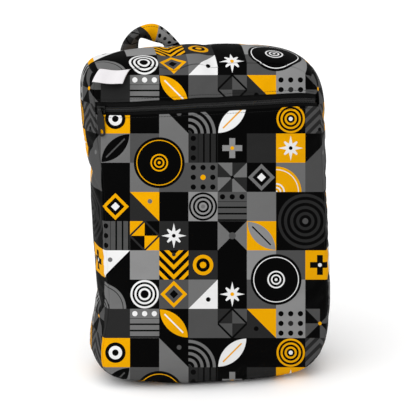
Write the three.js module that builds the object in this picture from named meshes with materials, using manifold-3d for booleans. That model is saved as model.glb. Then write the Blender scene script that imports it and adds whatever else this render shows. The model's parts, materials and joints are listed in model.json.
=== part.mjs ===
// A boxed wet bag for cloth nappies: four sewn cloth panels with a coil zip across the front,
// a padded hanging loop in the back seam and a small folded label in the top front seam.
// Millimetres, +Z up, the front faces -Y, and the origin is the middle of the flat base.

import * as THREE from "three";
import Module from "manifold-3d";
import { mergeVertices } from "three/addons/utils/BufferGeometryUtils.js";

const wasm = await Module();
wasm.setup();

// Bag body.
const HALF_WIDTH = 150; // from the middle to a side seam
const HEIGHT = 435; // from the floor to the crest of the top gusset
const GUSSET_WIDTH = 104; // front seam to back seam
const FRONT_BULGE = 24; // the front panel's crown over its seam
const BACK_BULGE = 18;
const GUSSET_BULGE = 9;
const SEAM_BOW = 9; // how much fuller the footprint is in the middle than at the corners
const BASE_RISE = 5; // the seams' height over the floor
const ARCH = 12; // how far the corners of the seams are drawn in from a straight top and base
const SEAM_WAVE = 7; // the deepest sag of the top front seam between its gathers
const CLOTH = 1.6; // laminated cloth with its lining
const SEAM_GAP = 0.3;

// Exponents of the cloth's fullness: a higher one keeps a panel full nearer to its seams.
const FULL_ACROSS = 3.2;
const FULL_UP = 6;
const FULL_GUSSET = 2.4;
const CROWN_ROUND = 0.8;
const LABEL_CURL = 1.5;

// Exponents of how fast the shape of the top and the base fades towards the middle height.
const ARCH_FADE = 6;
const SAG_FADE = 10;
const LIFT_FADE = 4;

// Seam corners from the foot to the shoulder: cut is the rounding as a share of each half side,
// and arch is a share of ARCH.
const CORNERS = {
  left: [
    { up: -1, cut: 0.055, arch: 1.05 },
    { up: 1, cut: 0.035, arch: 0.85 },
  ],
  right: [
    { up: -1, cut: 0.08, arch: 0.6 },
    { up: 1, cut: 0.095, arch: 1.0 },
  ],
};

// Zip.
const ZIP_DROP = 51; // how far the zip's middle line lies below the top front seam
const ZIP_WINDOW = 17; // between the two stitched cloth edges
const ZIP_STRAIGHTNESS = 0.8; // 1 keeps the zip level right up to the side seams
const ZIP_RISE = 5; // how far the filled panel pushes the zip up on its right
const TAPE = 0.9;
const TAPE_UNDER_CLOTH = 6;
const TAPE_PARTING = 3.4; // between the two tapes, under the coil
const COIL_WIDTH = 6;
const COIL_HEIGHT = 2.2;

// Slider and pull.
const SLIDER_FROM_SIDE = 8.25; // the parked slider's middle to the left side seam
const SLIDER_LENGTH = 11;
const SLIDER_PLATE = 1.1;
const SLIDER_CHEEK = 1.1;
const SLIDER_RUN = 0.35; // running clearance round the coil
const NOSE_POST = 1.8; // the post between the two tapes
const THROAT = 1.4; // how far the nose stands open
const BAR_RADIUS = 0.8;
const BAR_LEG = 1.2;
const KNUCKLE_WIDTH = 4.2;
const KNUCKLE_WALL = 0.9;
const KNUCKLE_PLAY = 0.45; // between the bar and the knuckle that turns on it
const PULL_LENGTH = 34;
const PULL_WIDTH = 9.5;
const PULL_NECK = 5;
const PULL_NECK_LENGTH = 2.5;
const PULL_SHOULDER = 8; // where the pull reaches its full width
const PULL_PLATE = 1.3;
const PULL_EYE_WIDTH = 4.4;
const PULL_EYE_LENGTH = 7;
const PULL_RIM = 2.4;
const PULL_LEAN = 6; // degrees that the hanging pull leans in on the cloth

// Hanging loop.
const LOOP_SPAN = 60; // between the middles of its two legs
const LOOP_RISE = 33; // its outer edge over the seam
const LOOP_WIDTH = 25; // of the band, laid flat
const LOOP_THICKNESS = 3;
const LOOP_FROM_SIDE = 84; // its middle to the left side seam

// Label.
const LABEL_WIDTH = 38;
const LABEL_DROP = 17; // from the seam down to its folded edge
const LABEL_THICKNESS = 1.4; // ribbon folded double
const LABEL_FROM_SIDE = 25.5; // its middle to the left side seam
const LABEL_FLARE = 12; // how far its folded edge stands off the panel
const LABEL_LEAN = 9; // how far its folded edge swings towards the side

// Mesh steps.
const COLUMNS = 22;
const LOWER_ROWS = 18;
const UPPER_ROWS = 5;
const GUSSET_STEPS = 6;
const LOOP_STEPS = 24;
const LOOP_COLUMNS = 4;
const LABEL_STEPS = 4;
const ROUND_STEPS = 7; // in half a turn of a bar or a knuckle
const SLOPE_STEP = 1e-3; // the share over which a slope is taken
const MERGED_WITHIN = 1e-4;
const EVENNESS = 0.35; // 1 spaces the columns evenly, and less crowds them at the seams
const ZIP_CROWDING = 0.8; // less than 1 crowds the rows towards the zip

// Sections of the bag by height: the seams' half widths as shares of HALF_WIDTH, the distance
// between them as a share of GUSSET_WIDTH, and the gusset's swell as a share of GUSSET_BULGE.
const SECTIONS = [
  { height: 0.0, left: 0.95, right: 1.0, depth: 1.0, swell: 1.0 },
  { height: 0.1, left: 0.94, right: 1.02, depth: 1.0, swell: 1.0 },
  { height: 0.25, left: 0.875, right: 1.03, depth: 1.0, swell: 1.0 },
  { height: 0.45, left: 0.893, right: 1.0, depth: 1.0, swell: 1.0 },
  { height: 0.65, left: 0.91, right: 0.965, depth: 0.98, swell: 1.1 },
  { height: 0.8, left: 0.95, right: 0.945, depth: 0.93, swell: 1.3 },
  { height: 0.92, left: 0.965, right: 0.94, depth: 0.86, swell: 1.3 },
  { height: 1.0, left: 0.965, right: 0.94, depth: 0.8, swell: 1.0 },
];

// The zip's rise from the slider's side to the other: place as a share of HALF_WIDTH, rise of ZIP_RISE.
const ZIP_RISES = [
  { across: -1.0, rise: 0.0 },
  { across: -0.85, rise: 0.0 },
  { across: -0.5, rise: 0.38 },
  { across: 0.0, rise: 0.78 },
  { across: 0.5, rise: 0.95 },
  { across: 0.8, rise: 1.0 },
  { across: 1.0, rise: 0.6 },
];

// Sags of the top front seam: place and spread as shares of HALF_WIDTH, depth as a share of SEAM_WAVE.
const TOP_SAGS = [
  { across: -0.86, spread: 0.14, depth: 0.5 },
  { across: -0.32, spread: 0.1, depth: 1.0 },
  { across: 0.04, spread: 0.09, depth: 0.85 },
];

// Soft folds of the front: place, reach and breadth as shares of HALF_WIDTH and of the half height,
// turn in degrees from level, and depth as a share of FRONT_BULGE, where a valley is negative.
const FRONT_FOLDS = [
  { across: -0.62, up: 0.88, turn: 24, reach: 0.2, breadth: 0.05, depth: -0.1 },
  { across: -0.55, up: 0.84, turn: 22, reach: 0.2, breadth: 0.04, depth: 0.07 },
  { across: -0.6, up: 0.52, turn: -38, reach: 0.3, breadth: 0.08, depth: -0.09 },
  { across: -0.78, up: 0.2, turn: 78, reach: 0.5, breadth: 0.08, depth: -0.11 },
  { across: -0.84, up: -0.42, turn: 58, reach: 0.34, breadth: 0.09, depth: -0.16 },
  { across: -0.45, up: -0.7, turn: 30, reach: 0.4, breadth: 0.1, depth: -0.07 },
  { across: 0.3, up: -0.78, turn: -14, reach: 0.45, breadth: 0.08, depth: -0.06 },
  { across: 0.8, up: 0.1, turn: 84, reach: 0.6, breadth: 0.07, depth: -0.07 },
  { across: 0.55, up: 0.55, turn: 10, reach: 0.4, breadth: 0.06, depth: -0.06 },
  { across: 0.15, up: 0.86, turn: -8, reach: 0.3, breadth: 0.05, depth: 0.05 },
];

// The loop's outer and inner edge from its left foot round to its right foot: places across as
// shares of LOOP_SPAN, and rises as shares of LOOP_RISE.
const LOOP_EDGES = [
  { round: 0.0, outer: -0.7, outerRise: 0.0, inner: -0.29, innerRise: 0.0 },
  { round: 0.1, outer: -0.66, outerRise: 0.25, inner: -0.29, innerRise: 0.15 },
  { round: 0.2, outer: -0.6, outerRise: 0.47, inner: -0.285, innerRise: 0.29 },
  { round: 0.3, outer: -0.49, outerRise: 0.7, inner: -0.27, innerRise: 0.42 },
  { round: 0.4, outer: -0.35, outerRise: 0.87, inner: -0.23, innerRise: 0.48 },
  { round: 0.5, outer: -0.17, outerRise: 0.98, inner: -0.14, innerRise: 0.43 },
  { round: 0.6, outer: 0.02, outerRise: 1.0, inner: -0.02, innerRise: 0.33 },
  { round: 0.7, outer: 0.185, outerRise: 0.89, inner: 0.08, innerRise: 0.26 },
  { round: 0.8, outer: 0.345, outerRise: 0.66, inner: 0.18, innerRise: 0.2 },
  { round: 0.9, outer: 0.505, outerRise: 0.35, inner: 0.25, innerRise: 0.12 },
  { round: 1.0, outer: 0.66, outerRise: 0.0, inner: 0.27, innerRise: 0.0 },
];

const FINISHES = {
  print: { color: 0x3c3c3c, roughness: 0.75 },
  tape: { color: 0x101010, roughness: 0.8 },
  coil: { color: 0x1a1a1a, roughness: 0.45 },
  metal: { color: 0x161616, roughness: 0.45, metalness: 0.6 },
  label: { color: 0xf2f0f0, roughness: 0.6 },
};

const SEAM_TOP = HEIGHT - GUSSET_BULGE;
const HALF_HEIGHT = (SEAM_TOP - BASE_RISE) / 2;
const MIDDLE = (SEAM_TOP + BASE_RISE) / 2;
const SLIDER_ACROSS = SLIDER_FROM_SIDE / HALF_WIDTH - 1;
const LABEL_ACROSS = LABEL_FROM_SIDE / HALF_WIDTH - 1;
const LOOP_ACROSS = LOOP_FROM_SIDE / HALF_WIDTH - 1;
const radians = THREE.MathUtils.degToRad;

// The share up the panel of a height below the top front seam.
const upFrom = (drop) => 1 - drop / HALF_HEIGHT;
const ZIP_LINE = upFrom(ZIP_DROP);
const LOWER_EDGE = upFrom(ZIP_DROP + ZIP_WINDOW / 2);
const UPPER_EDGE = upFrom(ZIP_DROP - ZIP_WINDOW / 2);
const COVERED = TAPE_UNDER_CLOTH / HALF_HEIGHT;
const TAPE_LEVEL = CLOTH + SEAM_GAP; // the tapes' outside, under the cloth's

// A table's column at a place, smoothly through its rows.
function along(rows, place, column, at) {
  const x = THREE.MathUtils.clamp(at, rows[0][place], rows[rows.length - 1][place]);
  let i = 0;
  while (i < rows.length - 2 && x > rows[i + 1][place]) i++;
  const [before, from, to, after] = [i - 1, i, i + 1, i + 2].map(
    (k) => rows[THREE.MathUtils.clamp(k, 0, rows.length - 1)],
  );
  const step = to[place] - from[place];
  const share = (x - from[place]) / step;
  const slopeIn = (to[column] - before[column]) / (to[place] - before[place]);
  const slopeOut = (after[column] - from[column]) / (after[place] - from[place]);
  const s2 = share * share;
  const s3 = s2 * share;
  return (
    from[column] * (2 * s3 - 3 * s2 + 1) +
    slopeIn * step * (s3 - 2 * s2 + share) +
    to[column] * (3 * s2 - 2 * s3) +
    slopeOut * step * (s3 - s2)
  );
}

// Where the share u across and v up of a panel lies on the rounded outline, before any depth.
function outline(u, v, inset) {
  const hand = u < 0 ? "left" : "right";
  const corners = CORNERS[hand];
  const cut = along(corners, "up", "cut", v);
  const power = (1 - cut) / cut;
  const across = u * (1 - cut * Math.abs(v) ** power);
  const up = v * (1 - cut * Math.abs(u) ** power);
  const section = (column) => along(SECTIONS, "height", column, (up + 1) / 2);
  const drawn = ARCH * along(corners, "up", "arch", v) * across * across * up ** ARCH_FADE;
  return {
    x: across * (HALF_WIDTH * section(hand) - inset),
    z: MIDDLE + up * (HALF_HEIGHT - inset) - Math.sign(up) * drawn,
    halfDepth: (GUSSET_WIDTH / 2) * section("depth") + SEAM_BOW * (1 - across * across) - inset,
    swell: GUSSET_BULGE * section("swell"),
  };
}

// How far the top front seam sags at u, fading down the panel.
function topSag(u, v) {
  const sag = TOP_SAGS.reduce(
    (sum, row) => sum + row.depth * Math.exp(-(((u - row.across) / row.spread) ** 2)),
    0,
  );
  return SEAM_WAVE * sag * Math.max(v, 0) ** SAG_FADE;
}

// The crown of a panel, from 0 on its seam to 1 in the middle.
function crown(u, v) {
  return ((1 - Math.abs(u) ** FULL_ACROSS) * (1 - Math.abs(v) ** FULL_UP)) ** CROWN_ROUND;
}

// The height of the front's soft folds at u, v.
function frontFolds(u, v) {
  return FRONT_FOLDS.reduce((sum, row) => {
    const dx = (u - row.across) * HALF_WIDTH;
    const dz = (v - row.up) * HALF_HEIGHT;
    const turn = radians(row.turn);
    const lengthways = (dx * Math.cos(turn) + dz * Math.sin(turn)) / (row.reach * HALF_WIDTH);
    const crossways = (dz * Math.cos(turn) - dx * Math.sin(turn)) / (row.breadth * HALF_WIDTH);
    const shape = Math.exp(-(crossways ** 2) - lengthways ** 4);
    return sum + row.depth * FRONT_BULGE * shape;
  }, 0);
}

// The rows of the front lift towards the corners, so that the zip runs nearly straight, and with
// the zip's rise.
function liftedRow(u, v) {
  if (v <= 0) return v;
  const cut = along(CORNERS[u < 0 ? "left" : "right"], "up", "cut", v);
  const fall = cut * Math.abs(u) ** ((1 - cut) / cut);
  const straight = (ZIP_STRAIGHTNESS * ZIP_LINE * fall) / (1 - fall);
  const rise = (ZIP_RISE * along(ZIP_RISES, "across", "rise", u)) / HALF_HEIGHT;
  return v + ((straight + rise) * (1 - v) * (v / ZIP_LINE) ** LIFT_FADE) / (1 - ZIP_LINE);
}

// A point of the front panel's outside; inset moves it inwards, towards the bag's middle.
function frontPoint(u, row, inset = 0) {
  const v = liftedRow(u, row);
  const at = outline(u, v, inset);
  const rise = (FRONT_BULGE + frontFolds(u, v)) * crown(u, v);
  return new THREE.Vector3(at.x, -at.halfDepth - rise, at.z - topSag(u, v));
}

function backPoint(u, v, inset = 0) {
  const at = outline(u, v, inset);
  const rise = BACK_BULGE * crown(u, v);
  return new THREE.Vector3(at.x, at.halfDepth + rise, at.z);
}

// A point of the gusset: u, v on the outline, and w from -1 at the front seam to 1 at the back seam.
function gussetPoint(u, v, w, inset = 0) {
  const front = frontPoint(u, v, inset);
  const back = backPoint(u, v, inset);
  const sideways = Math.abs(u) > Math.abs(v) ? [0, SLOPE_STEP] : [SLOPE_STEP, 0];
  const a = outline(u - sideways[0], v - sideways[1], inset);
  const b = outline(u + sideways[0], v + sideways[1], inset);
  const outward = new THREE.Vector3(b.z - a.z, 0, a.x - b.x).normalize();
  if (outward.x * u + outward.z * v < 0) outward.negate();
  const point = front.lerp(back, (w + 1) / 2);
  point.addScaledVector(outward, outline(u, v, inset).swell * (1 - Math.abs(w) ** FULL_GUSSET));
  point.z = Math.max(point.z, inset);
  return point;
}

// Stops from -1 to 1, closer together towards both ends, where the cloth turns.
function stops(count) {
  return Array.from({ length: count + 1 }, (_, i) => {
    const even = (2 * i) / count - 1;
    return EVENNESS * even + (1 - EVENNESS) * Math.sin((Math.PI / 2) * even);
  });
}

// The cloth lies flat under the slider, so no column falls between the slider's ends.
const sliderReach = (SLIDER_LENGTH / 2 + SLIDER_RUN) / HALF_WIDTH;
const sliderEnds = [SLIDER_ACROSS - sliderReach, SLIDER_ACROSS + sliderReach];
const apart = SLIDER_RUN / HALF_WIDTH;
const acrossStops = stops(COLUMNS)
  .filter((u) => u === -1 || u < sliderEnds[0] - apart || u > sliderEnds[1] + apart)
  .concat(sliderEnds)
  .sort((a, b) => a - b);

// The lower panel's rows end, and the upper panel's begin, with the strip that covers a tape.
const lowerStops = stops(LOWER_ROWS)
  .map((s) => -1 + ((s + 1) / 2) ** ZIP_CROWDING * (LOWER_EDGE - COVERED + 1))
  .concat(LOWER_EDGE);
const upperStops = [UPPER_EDGE].concat(
  Array.from({ length: UPPER_ROWS }, (_, i) =>
    THREE.MathUtils.lerp(UPPER_EDGE + COVERED, 1, i / (UPPER_ROWS - 1)),
  ),
);

// Panel edges stand back from the seam line by half the seam's gap.
const EDGE_U = 1 - SEAM_GAP / 2 / HALF_WIDTH;
const EDGE_V = 1 - SEAM_GAP / 2 / HALF_HEIGHT;
const EDGE_W = 1 - SEAM_GAP / (GUSSET_WIDTH / 2);
const within = (value, edge) => THREE.MathUtils.clamp(value, -edge, edge);

// A closed solid between an outer and an inner grid of points, facing out.
function sheet(outer, inner, ring = false) {
  const rows = outer.length;
  const columns = outer[0].length;
  const points = [...outer.flat(), ...inner.flat()];
  const under = rows * columns;
  const index = [];
  const quad = (a, b, c, d) => index.push(a, b, c, a, c, d);
  const id = (i, j) => (i % rows) * columns + j;
  const lastRow = ring ? rows : rows - 1;
  for (let i = 0; i < lastRow; i++) {
    for (let j = 0; j < columns - 1; j++) {
      const [a, b, c, d] = [id(i, j), id(i + 1, j), id(i + 1, j + 1), id(i, j + 1)];
      quad(a, b, c, d);
      quad(a + under, d + under, c + under, b + under);
    }
    for (const [j, flip] of [[0, false], [columns - 1, true]]) {
      const rim = [id(i, j), id(i, j) + under, id(i + 1, j) + under, id(i + 1, j)];
      quad(...(flip ? rim.reverse() : rim));
    }
  }
  for (const [i, flip] of ring ? [] : [[0, true], [rows - 1, false]]) {
    for (let j = 0; j < columns - 1; j++) {
      const rim = [id(i, j), id(i, j) + under, id(i, j + 1) + under, id(i, j + 1)];
      quad(...(flip ? rim.reverse() : rim));
    }
  }
  if (signedVolume(points, index) < 0) index.reverse();
  const geometry = new THREE.BufferGeometry().setFromPoints(points);
  geometry.setIndex(index);
  geometry.computeVertexNormals();
  return geometry;
}

function signedVolume(points, index) {
  let sum = 0;
  for (let i = 0; i < index.length; i += 3) {
    const [a, b, c] = [0, 1, 2].map((k) => points[index[i + k]]);
    sum += a.dot(b.clone().cross(c));
  }
  return sum / 6;
}

// A cloth panel over a grid of shares, with the wall's two faces at the given insets.
function panel(point, us, vs, outside = 0, inside = CLOTH) {
  const grid = (inset) => us.map((u) => vs.map((v) => point(u, v, inset)));
  return sheet(grid(outside), grid(inside));
}

function mesh(name, geometry, finish) {
  const made = new THREE.Mesh(geometry, new THREE.MeshStandardMaterial(finish));
  made.name = name;
  return made;
}

function frontPanels() {
  const us = acrossStops.map((u) => within(u, EDGE_U));
  const lower = panel(frontPoint, us, lowerStops.map((v) => within(v, EDGE_V)));
  const upper = panel(frontPoint, us, upperStops.map((v) => within(v, EDGE_V)));
  return [
    mesh("front_panel_lower", lower, FINISHES.print),
    mesh("front_panel_upper", upper, FINISHES.print),
  ];
}

function backPanel() {
  const us = acrossStops.map((u) => within(u, EDGE_U));
  const vs = [...lowerStops, ...upperStops].map((v) => within(v, EDGE_V));
  return mesh("back_panel", panel(backPoint, us, vs), FINISHES.print);
}

// The one long strip round the sides, top and base.
function gusset() {
  const ups = [...lowerStops, ...upperStops];
  const inner = (list) => list.slice(0, -1);
  const around = [
    ...inner(acrossStops).map((u) => [u, -1]),
    ...inner(ups).map((v) => [1, v]),
    ...inner([...acrossStops].reverse()).map((u) => [u, 1]),
    ...inner([...ups].reverse()).map((v) => [-1, v]),
  ];
  const ws = stops(GUSSET_STEPS).map((w) => within(w, EDGE_W));
  const grid = (inset) => around.map(([u, v]) => ws.map((w) => gussetPoint(u, v, w, inset)));
  return mesh("gusset", sheet(grid(0), grid(CLOTH), true), FINISHES.print);
}

// A point off the tapes' outside by a height, on the flat facet between two columns of the cloth.
function offTape(u, v, height) {
  const after = Math.max(acrossStops.findIndex((stop) => stop >= u), 1);
  const [from, to] = [after - 1, after].map((i) => within(acrossStops[i], EDGE_U));
  const raised = (stop) => {
    const at = frontPoint(stop, v, TAPE_LEVEL);
    const inner = stop < 0 ? stop + SLOPE_STEP : stop - SLOPE_STEP;
    const sideways = frontPoint(inner, v, TAPE_LEVEL).sub(at).multiplyScalar(stop < 0 ? 1 : -1);
    const upward = frontPoint(stop, v + SLOPE_STEP, TAPE_LEVEL).sub(at);
    return at.addScaledVector(sideways.cross(upward).normalize(), height);
  };
  return raised(from).lerp(raised(to), (u - from) / (to - from));
}

// Zip tapes lie under the stitched cloth edges, and the coil lies on the tapes.
function zip() {
  const us = acrossStops.map((u) => within(u, EDGE_U));
  const parting = (side) => upFrom(ZIP_DROP + (side * TAPE_PARTING) / 2);
  const tape = (vs) => panel(offTape, us, vs, 0, -TAPE);
  const upper = tape([parting(-1), UPPER_EDGE, UPPER_EDGE + COVERED]);
  const lower = tape([LOWER_EDGE - COVERED, LOWER_EDGE, parting(1)]);
  const [tail, nose] = sliderEnds.map((u) => offTape(u, ZIP_LINE, 0));
  const postShare = 0.5 - (SLIDER_LENGTH / 2 - NOSE_POST - SLIDER_RUN) / tail.distanceTo(nose);
  const start = THREE.MathUtils.lerp(...sliderEnds, postShare);
  const end = 1 - (CLOTH + COIL_HEIGHT) / HALF_WIDTH;
  const coilStops = [start, ...acrossStops.filter((u) => u > start && u < end - apart), end];
  const coilRows = [COIL_WIDTH / 2, 0, -COIL_WIDTH / 2].map((drop) => upFrom(ZIP_DROP + drop));
  const coil = panel(offTape, coilStops, coilRows, SEAM_GAP + COIL_HEIGHT, SEAM_GAP);
  return [
    mesh("zip_tape_upper", upper, FINISHES.tape),
    mesh("zip_tape_lower", lower, FINISHES.tape),
    mesh("zip_coil", coil, FINISHES.coil),
  ];
}

// Hardware is drawn level, facing -Y, with y = 0 on the tapes' outside and x along the zip.
const PLATE_UNDER = -(SEAM_GAP + COIL_HEIGHT + SLIDER_RUN);
const PLATE_TOP = PLATE_UNDER - SLIDER_PLATE;
const UNDER_PLATE = TAPE + 2 * SLIDER_RUN;
const KNUCKLE_INNER = BAR_RADIUS + KNUCKLE_PLAY;
const KNUCKLE_OUTER = KNUCKLE_INNER + KNUCKLE_WALL;
const BAR_Y = PLATE_TOP - KNUCKLE_OUTER - KNUCKLE_PLAY;

function solidFrom(geometry) {
  const bare = geometry.index ? geometry.toNonIndexed() : geometry.clone();
  bare.deleteAttribute("normal");
  bare.deleteAttribute("uv");
  const merged = mergeVertices(bare, MERGED_WITHIN);
  return new wasm.Manifold(
    new wasm.Mesh({
      numProp: 3,
      vertProperties: new Float32Array(merged.attributes.position.array),
      triVerts: new Uint32Array(merged.index.array),
    }),
  );
}

function geometryFrom(solid) {
  const found = solid.getMesh();
  const geometry = new THREE.BufferGeometry();
  geometry.setAttribute("position", new THREE.BufferAttribute(new Float32Array(found.vertProperties), 3));
  geometry.setIndex(new THREE.BufferAttribute(new Uint32Array(found.triVerts), 1));
  return geometry;
}

// A block given by its lowest and highest corner.
function block(low, high) {
  const size = high.map((h, i) => h - low[i]);
  const made = new THREE.BoxGeometry(...size);
  made.translate(...low.map((l, i) => l + size[i] / 2));
  return solidFrom(made);
}

const join = (solids) => solids.reduce((all, one) => all.add(one));

function slider() {
  const half = SLIDER_LENGTH / 2;
  const channel = COIL_WIDTH / 2 + SLIDER_RUN;
  const cheek = channel + SLIDER_CHEEK;
  const postHalf = TAPE_PARTING / 2 - SLIDER_RUN;
  const legInner = KNUCKLE_WIDTH / 2 + KNUCKLE_PLAY;
  const legOuter = legInner + BAR_LEG;
  const bite = SLIDER_PLATE / 4; // how deep joined blocks reach into each other
  const between = (a, b) => [Math.min(a, b), Math.max(a, b)];
  const plate = block([-half, PLATE_TOP, -cheek], [half, PLATE_UNDER, cheek]);
  const cheeks = [-1, 1].map((side) => {
    const [low, high] = between(side * channel, side * cheek);
    return block([-half + THROAT, PLATE_UNDER - bite, low], [half, -SLIDER_RUN, high]);
  });
  const post = block(
    [-half, PLATE_UNDER - bite, -postHalf],
    [-half + NOSE_POST, UNDER_PLATE + bite, postHalf],
  );
  const underPlate = block(
    [-half, UNDER_PLATE, -channel],
    [half - THROAT, UNDER_PLATE + SLIDER_PLATE, channel],
  );
  const legs = [-1, 1].map((side) => {
    const [low, high] = between(side * legInner, side * legOuter);
    return block([low, BAR_Y - BAR_RADIUS, -BAR_RADIUS], [high, PLATE_TOP + bite, BAR_RADIUS]);
  });
  const bar = new THREE.CylinderGeometry(BAR_RADIUS, BAR_RADIUS, legInner + legOuter, 2 * ROUND_STEPS);
  bar.rotateZ(Math.PI / 2);
  bar.translate(0, BAR_Y, 0);
  const body = join([plate, ...cheeks, post, underPlate, ...legs, solidFrom(bar)]);
  return mesh("zip_slider", geometryFrom(body), FINISHES.metal);
}

// The pull hangs from a knuckle that turns on the slider's bar, drawn about the bar's own line.
function pull() {
  const knuckle = new THREE.Shape().absarc(0, 0, KNUCKLE_OUTER, 0, 2 * Math.PI);
  knuckle.holes.push(new THREE.Path().absarc(0, 0, KNUCKLE_INNER, 0, 2 * Math.PI, true));
  const ring = new THREE.ExtrudeGeometry(knuckle, {
    depth: KNUCKLE_WIDTH,
    bevelEnabled: false,
    curveSegments: ROUND_STEPS,
  });
  ring.translate(0, 0, -KNUCKLE_WIDTH / 2);
  ring.rotateY(Math.PI / 2);

  const wide = PULL_WIDTH / 2;
  const neck = PULL_NECK / 2;
  const top = -(KNUCKLE_INNER + KNUCKLE_WALL / 2);
  const foot = -PULL_LENGTH + wide;
  const shape = new THREE.Shape();
  shape.moveTo(-neck, top);
  shape.lineTo(-neck, top - PULL_NECK_LENGTH);
  shape.lineTo(-wide, top - PULL_SHOULDER);
  shape.lineTo(-wide, foot);
  shape.absarc(0, foot, wide, Math.PI, 2 * Math.PI);
  shape.lineTo(wide, top - PULL_SHOULDER);
  shape.lineTo(neck, top - PULL_NECK_LENGTH);
  shape.lineTo(neck, top);
  const eyeRound = PULL_EYE_WIDTH / 2;
  const eyeFoot = -PULL_LENGTH + PULL_RIM + eyeRound;
  const eyeTop = eyeFoot + PULL_EYE_LENGTH - PULL_EYE_WIDTH;
  const eye = new THREE.Path();
  eye.absarc(0, eyeTop, eyeRound, 0, Math.PI);
  eye.absarc(0, eyeFoot, eyeRound, Math.PI, 2 * Math.PI);
  shape.holes.push(eye);
  const plate = new THREE.ExtrudeGeometry(shape, {
    depth: PULL_PLATE,
    bevelEnabled: false,
    curveSegments: ROUND_STEPS,
  });
  plate.rotateX(Math.PI / 2);
  plate.translate(0, PULL_PLATE / 2, 0);
  const body = join([solidFrom(ring), solidFrom(plate)]);
  const made = mesh("zip_pull", geometryFrom(body), FINISHES.metal);
  made.position.y = BAR_Y;
  made.rotation.x = radians(PULL_LEAN);
  return made;
}

// The slider's frame on the flat stretch of the zip: x along it, -y outwards, z up the cloth.
function sliderFrame() {
  const step = COIL_WIDTH / 2 / HALF_HEIGHT;
  const at = (u, v) => offTape(u, v, 0);
  const sideways = at(sliderEnds[1], ZIP_LINE).sub(at(sliderEnds[0], ZIP_LINE)).normalize();
  const upward = at(SLIDER_ACROSS, ZIP_LINE + step).sub(at(SLIDER_ACROSS, ZIP_LINE - step));
  const inward = upward.cross(sideways).normalize();
  const up = new THREE.Vector3().crossVectors(sideways, inward);
  return new THREE.Matrix4().makeBasis(sideways, inward, up).setPosition(at(SLIDER_ACROSS, ZIP_LINE));
}

function sliderAndPull() {
  const group = new THREE.Group();
  group.add(slider(), pull());
  group.applyMatrix4(sliderFrame());
  return group;
}

// The hanging loop: a padded band that stands on the top back seam and follows the seam's fall.
// Where its edges run close together the band crowns forward, so that its width stays the same:
// an arch of height h over a chord c is about c + 8 h h / (3 c) long.
function hangingLoop() {
  const reach = LOOP_SPAN / 2 / HALF_WIDTH;
  const [left, right] = [-reach, reach].map((step) => backPoint(LOOP_ACROSS + step, 1));
  const stretch = LOOP_SPAN / (right.x - left.x);
  const seam = (x) => backPoint(LOOP_ACROSS + (stretch * x) / HALF_WIDTH, 1);
  const edge = (name, round) =>
    new THREE.Vector2(
      LOOP_SPAN * along(LOOP_EDGES, "round", name, round),
      LOOP_RISE * along(LOOP_EDGES, "round", name + "Rise", round),
    );
  const point = (round, share, front) => {
    const [outer, inner] = ["outer", "inner"].map((name) => edge(name, round));
    const chord = Math.min(outer.distanceTo(inner), LOOP_WIDTH);
    const arch = Math.sqrt((3 / 8) * chord * (LOOP_WIDTH - chord));
    const standing = Math.sin(Math.PI * round) ** CROWN_ROUND;
    const flat = outer.lerp(inner, share);
    const forward = 4 * arch * standing * share * (1 - share) + LOOP_THICKNESS * front;
    return seam(flat.x).add(new THREE.Vector3(0, LOOP_THICKNESS - forward, flat.y + SEAM_GAP));
  };
  const grid = (front) =>
    Array.from({ length: LOOP_STEPS + 1 }, (_, i) =>
      Array.from({ length: LOOP_COLUMNS + 1 }, (_, j) =>
        point(i / LOOP_STEPS, j / LOOP_COLUMNS, front),
      ),
    );
  return mesh("hanging_loop", sheet(grid(1), grid(0)), FINISHES.print);
}

// The label hangs from the top front seam over the panel, swinging out at its folded edge.
function label() {
  const halfSpan = LABEL_WIDTH / 2 / HALF_WIDTH;
  const drop = LABEL_DROP / HALF_HEIGHT;
  const point = (side, down, offset) => {
    const hung = frontPoint(Math.max(LABEL_ACROSS + halfSpan * side, -EDGE_U), EDGE_V - drop * down);
    hung.x -= LABEL_LEAN * down;
    hung.y -= 2 * SEAM_GAP + offset + LABEL_FLARE * down ** LABEL_CURL;
    return hung;
  };
  const grid = (offset) =>
    Array.from({ length: LABEL_STEPS + 1 }, (_, i) =>
      Array.from({ length: LABEL_STEPS + 1 }, (_, j) =>
        point((2 * i) / LABEL_STEPS - 1, j / LABEL_STEPS, offset),
      ),
    );
  return mesh("label", sheet(grid(LABEL_THICKNESS), grid(0)), FINISHES.label);
}

const bag = new THREE.Group();
bag.add(...frontPanels(), backPanel(), gusset(), ...zip(), sliderAndPull(), hangingLoop(), label());

export default bag;
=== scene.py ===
"""A filled cloth wet bag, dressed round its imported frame: printed panels, zip, pull, loop and label.

Shapes are worked out in millimetres and handed to Blender in metres.
"""

import json
import logging
import math
from dataclasses import dataclass, field
from enum import Enum

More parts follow.
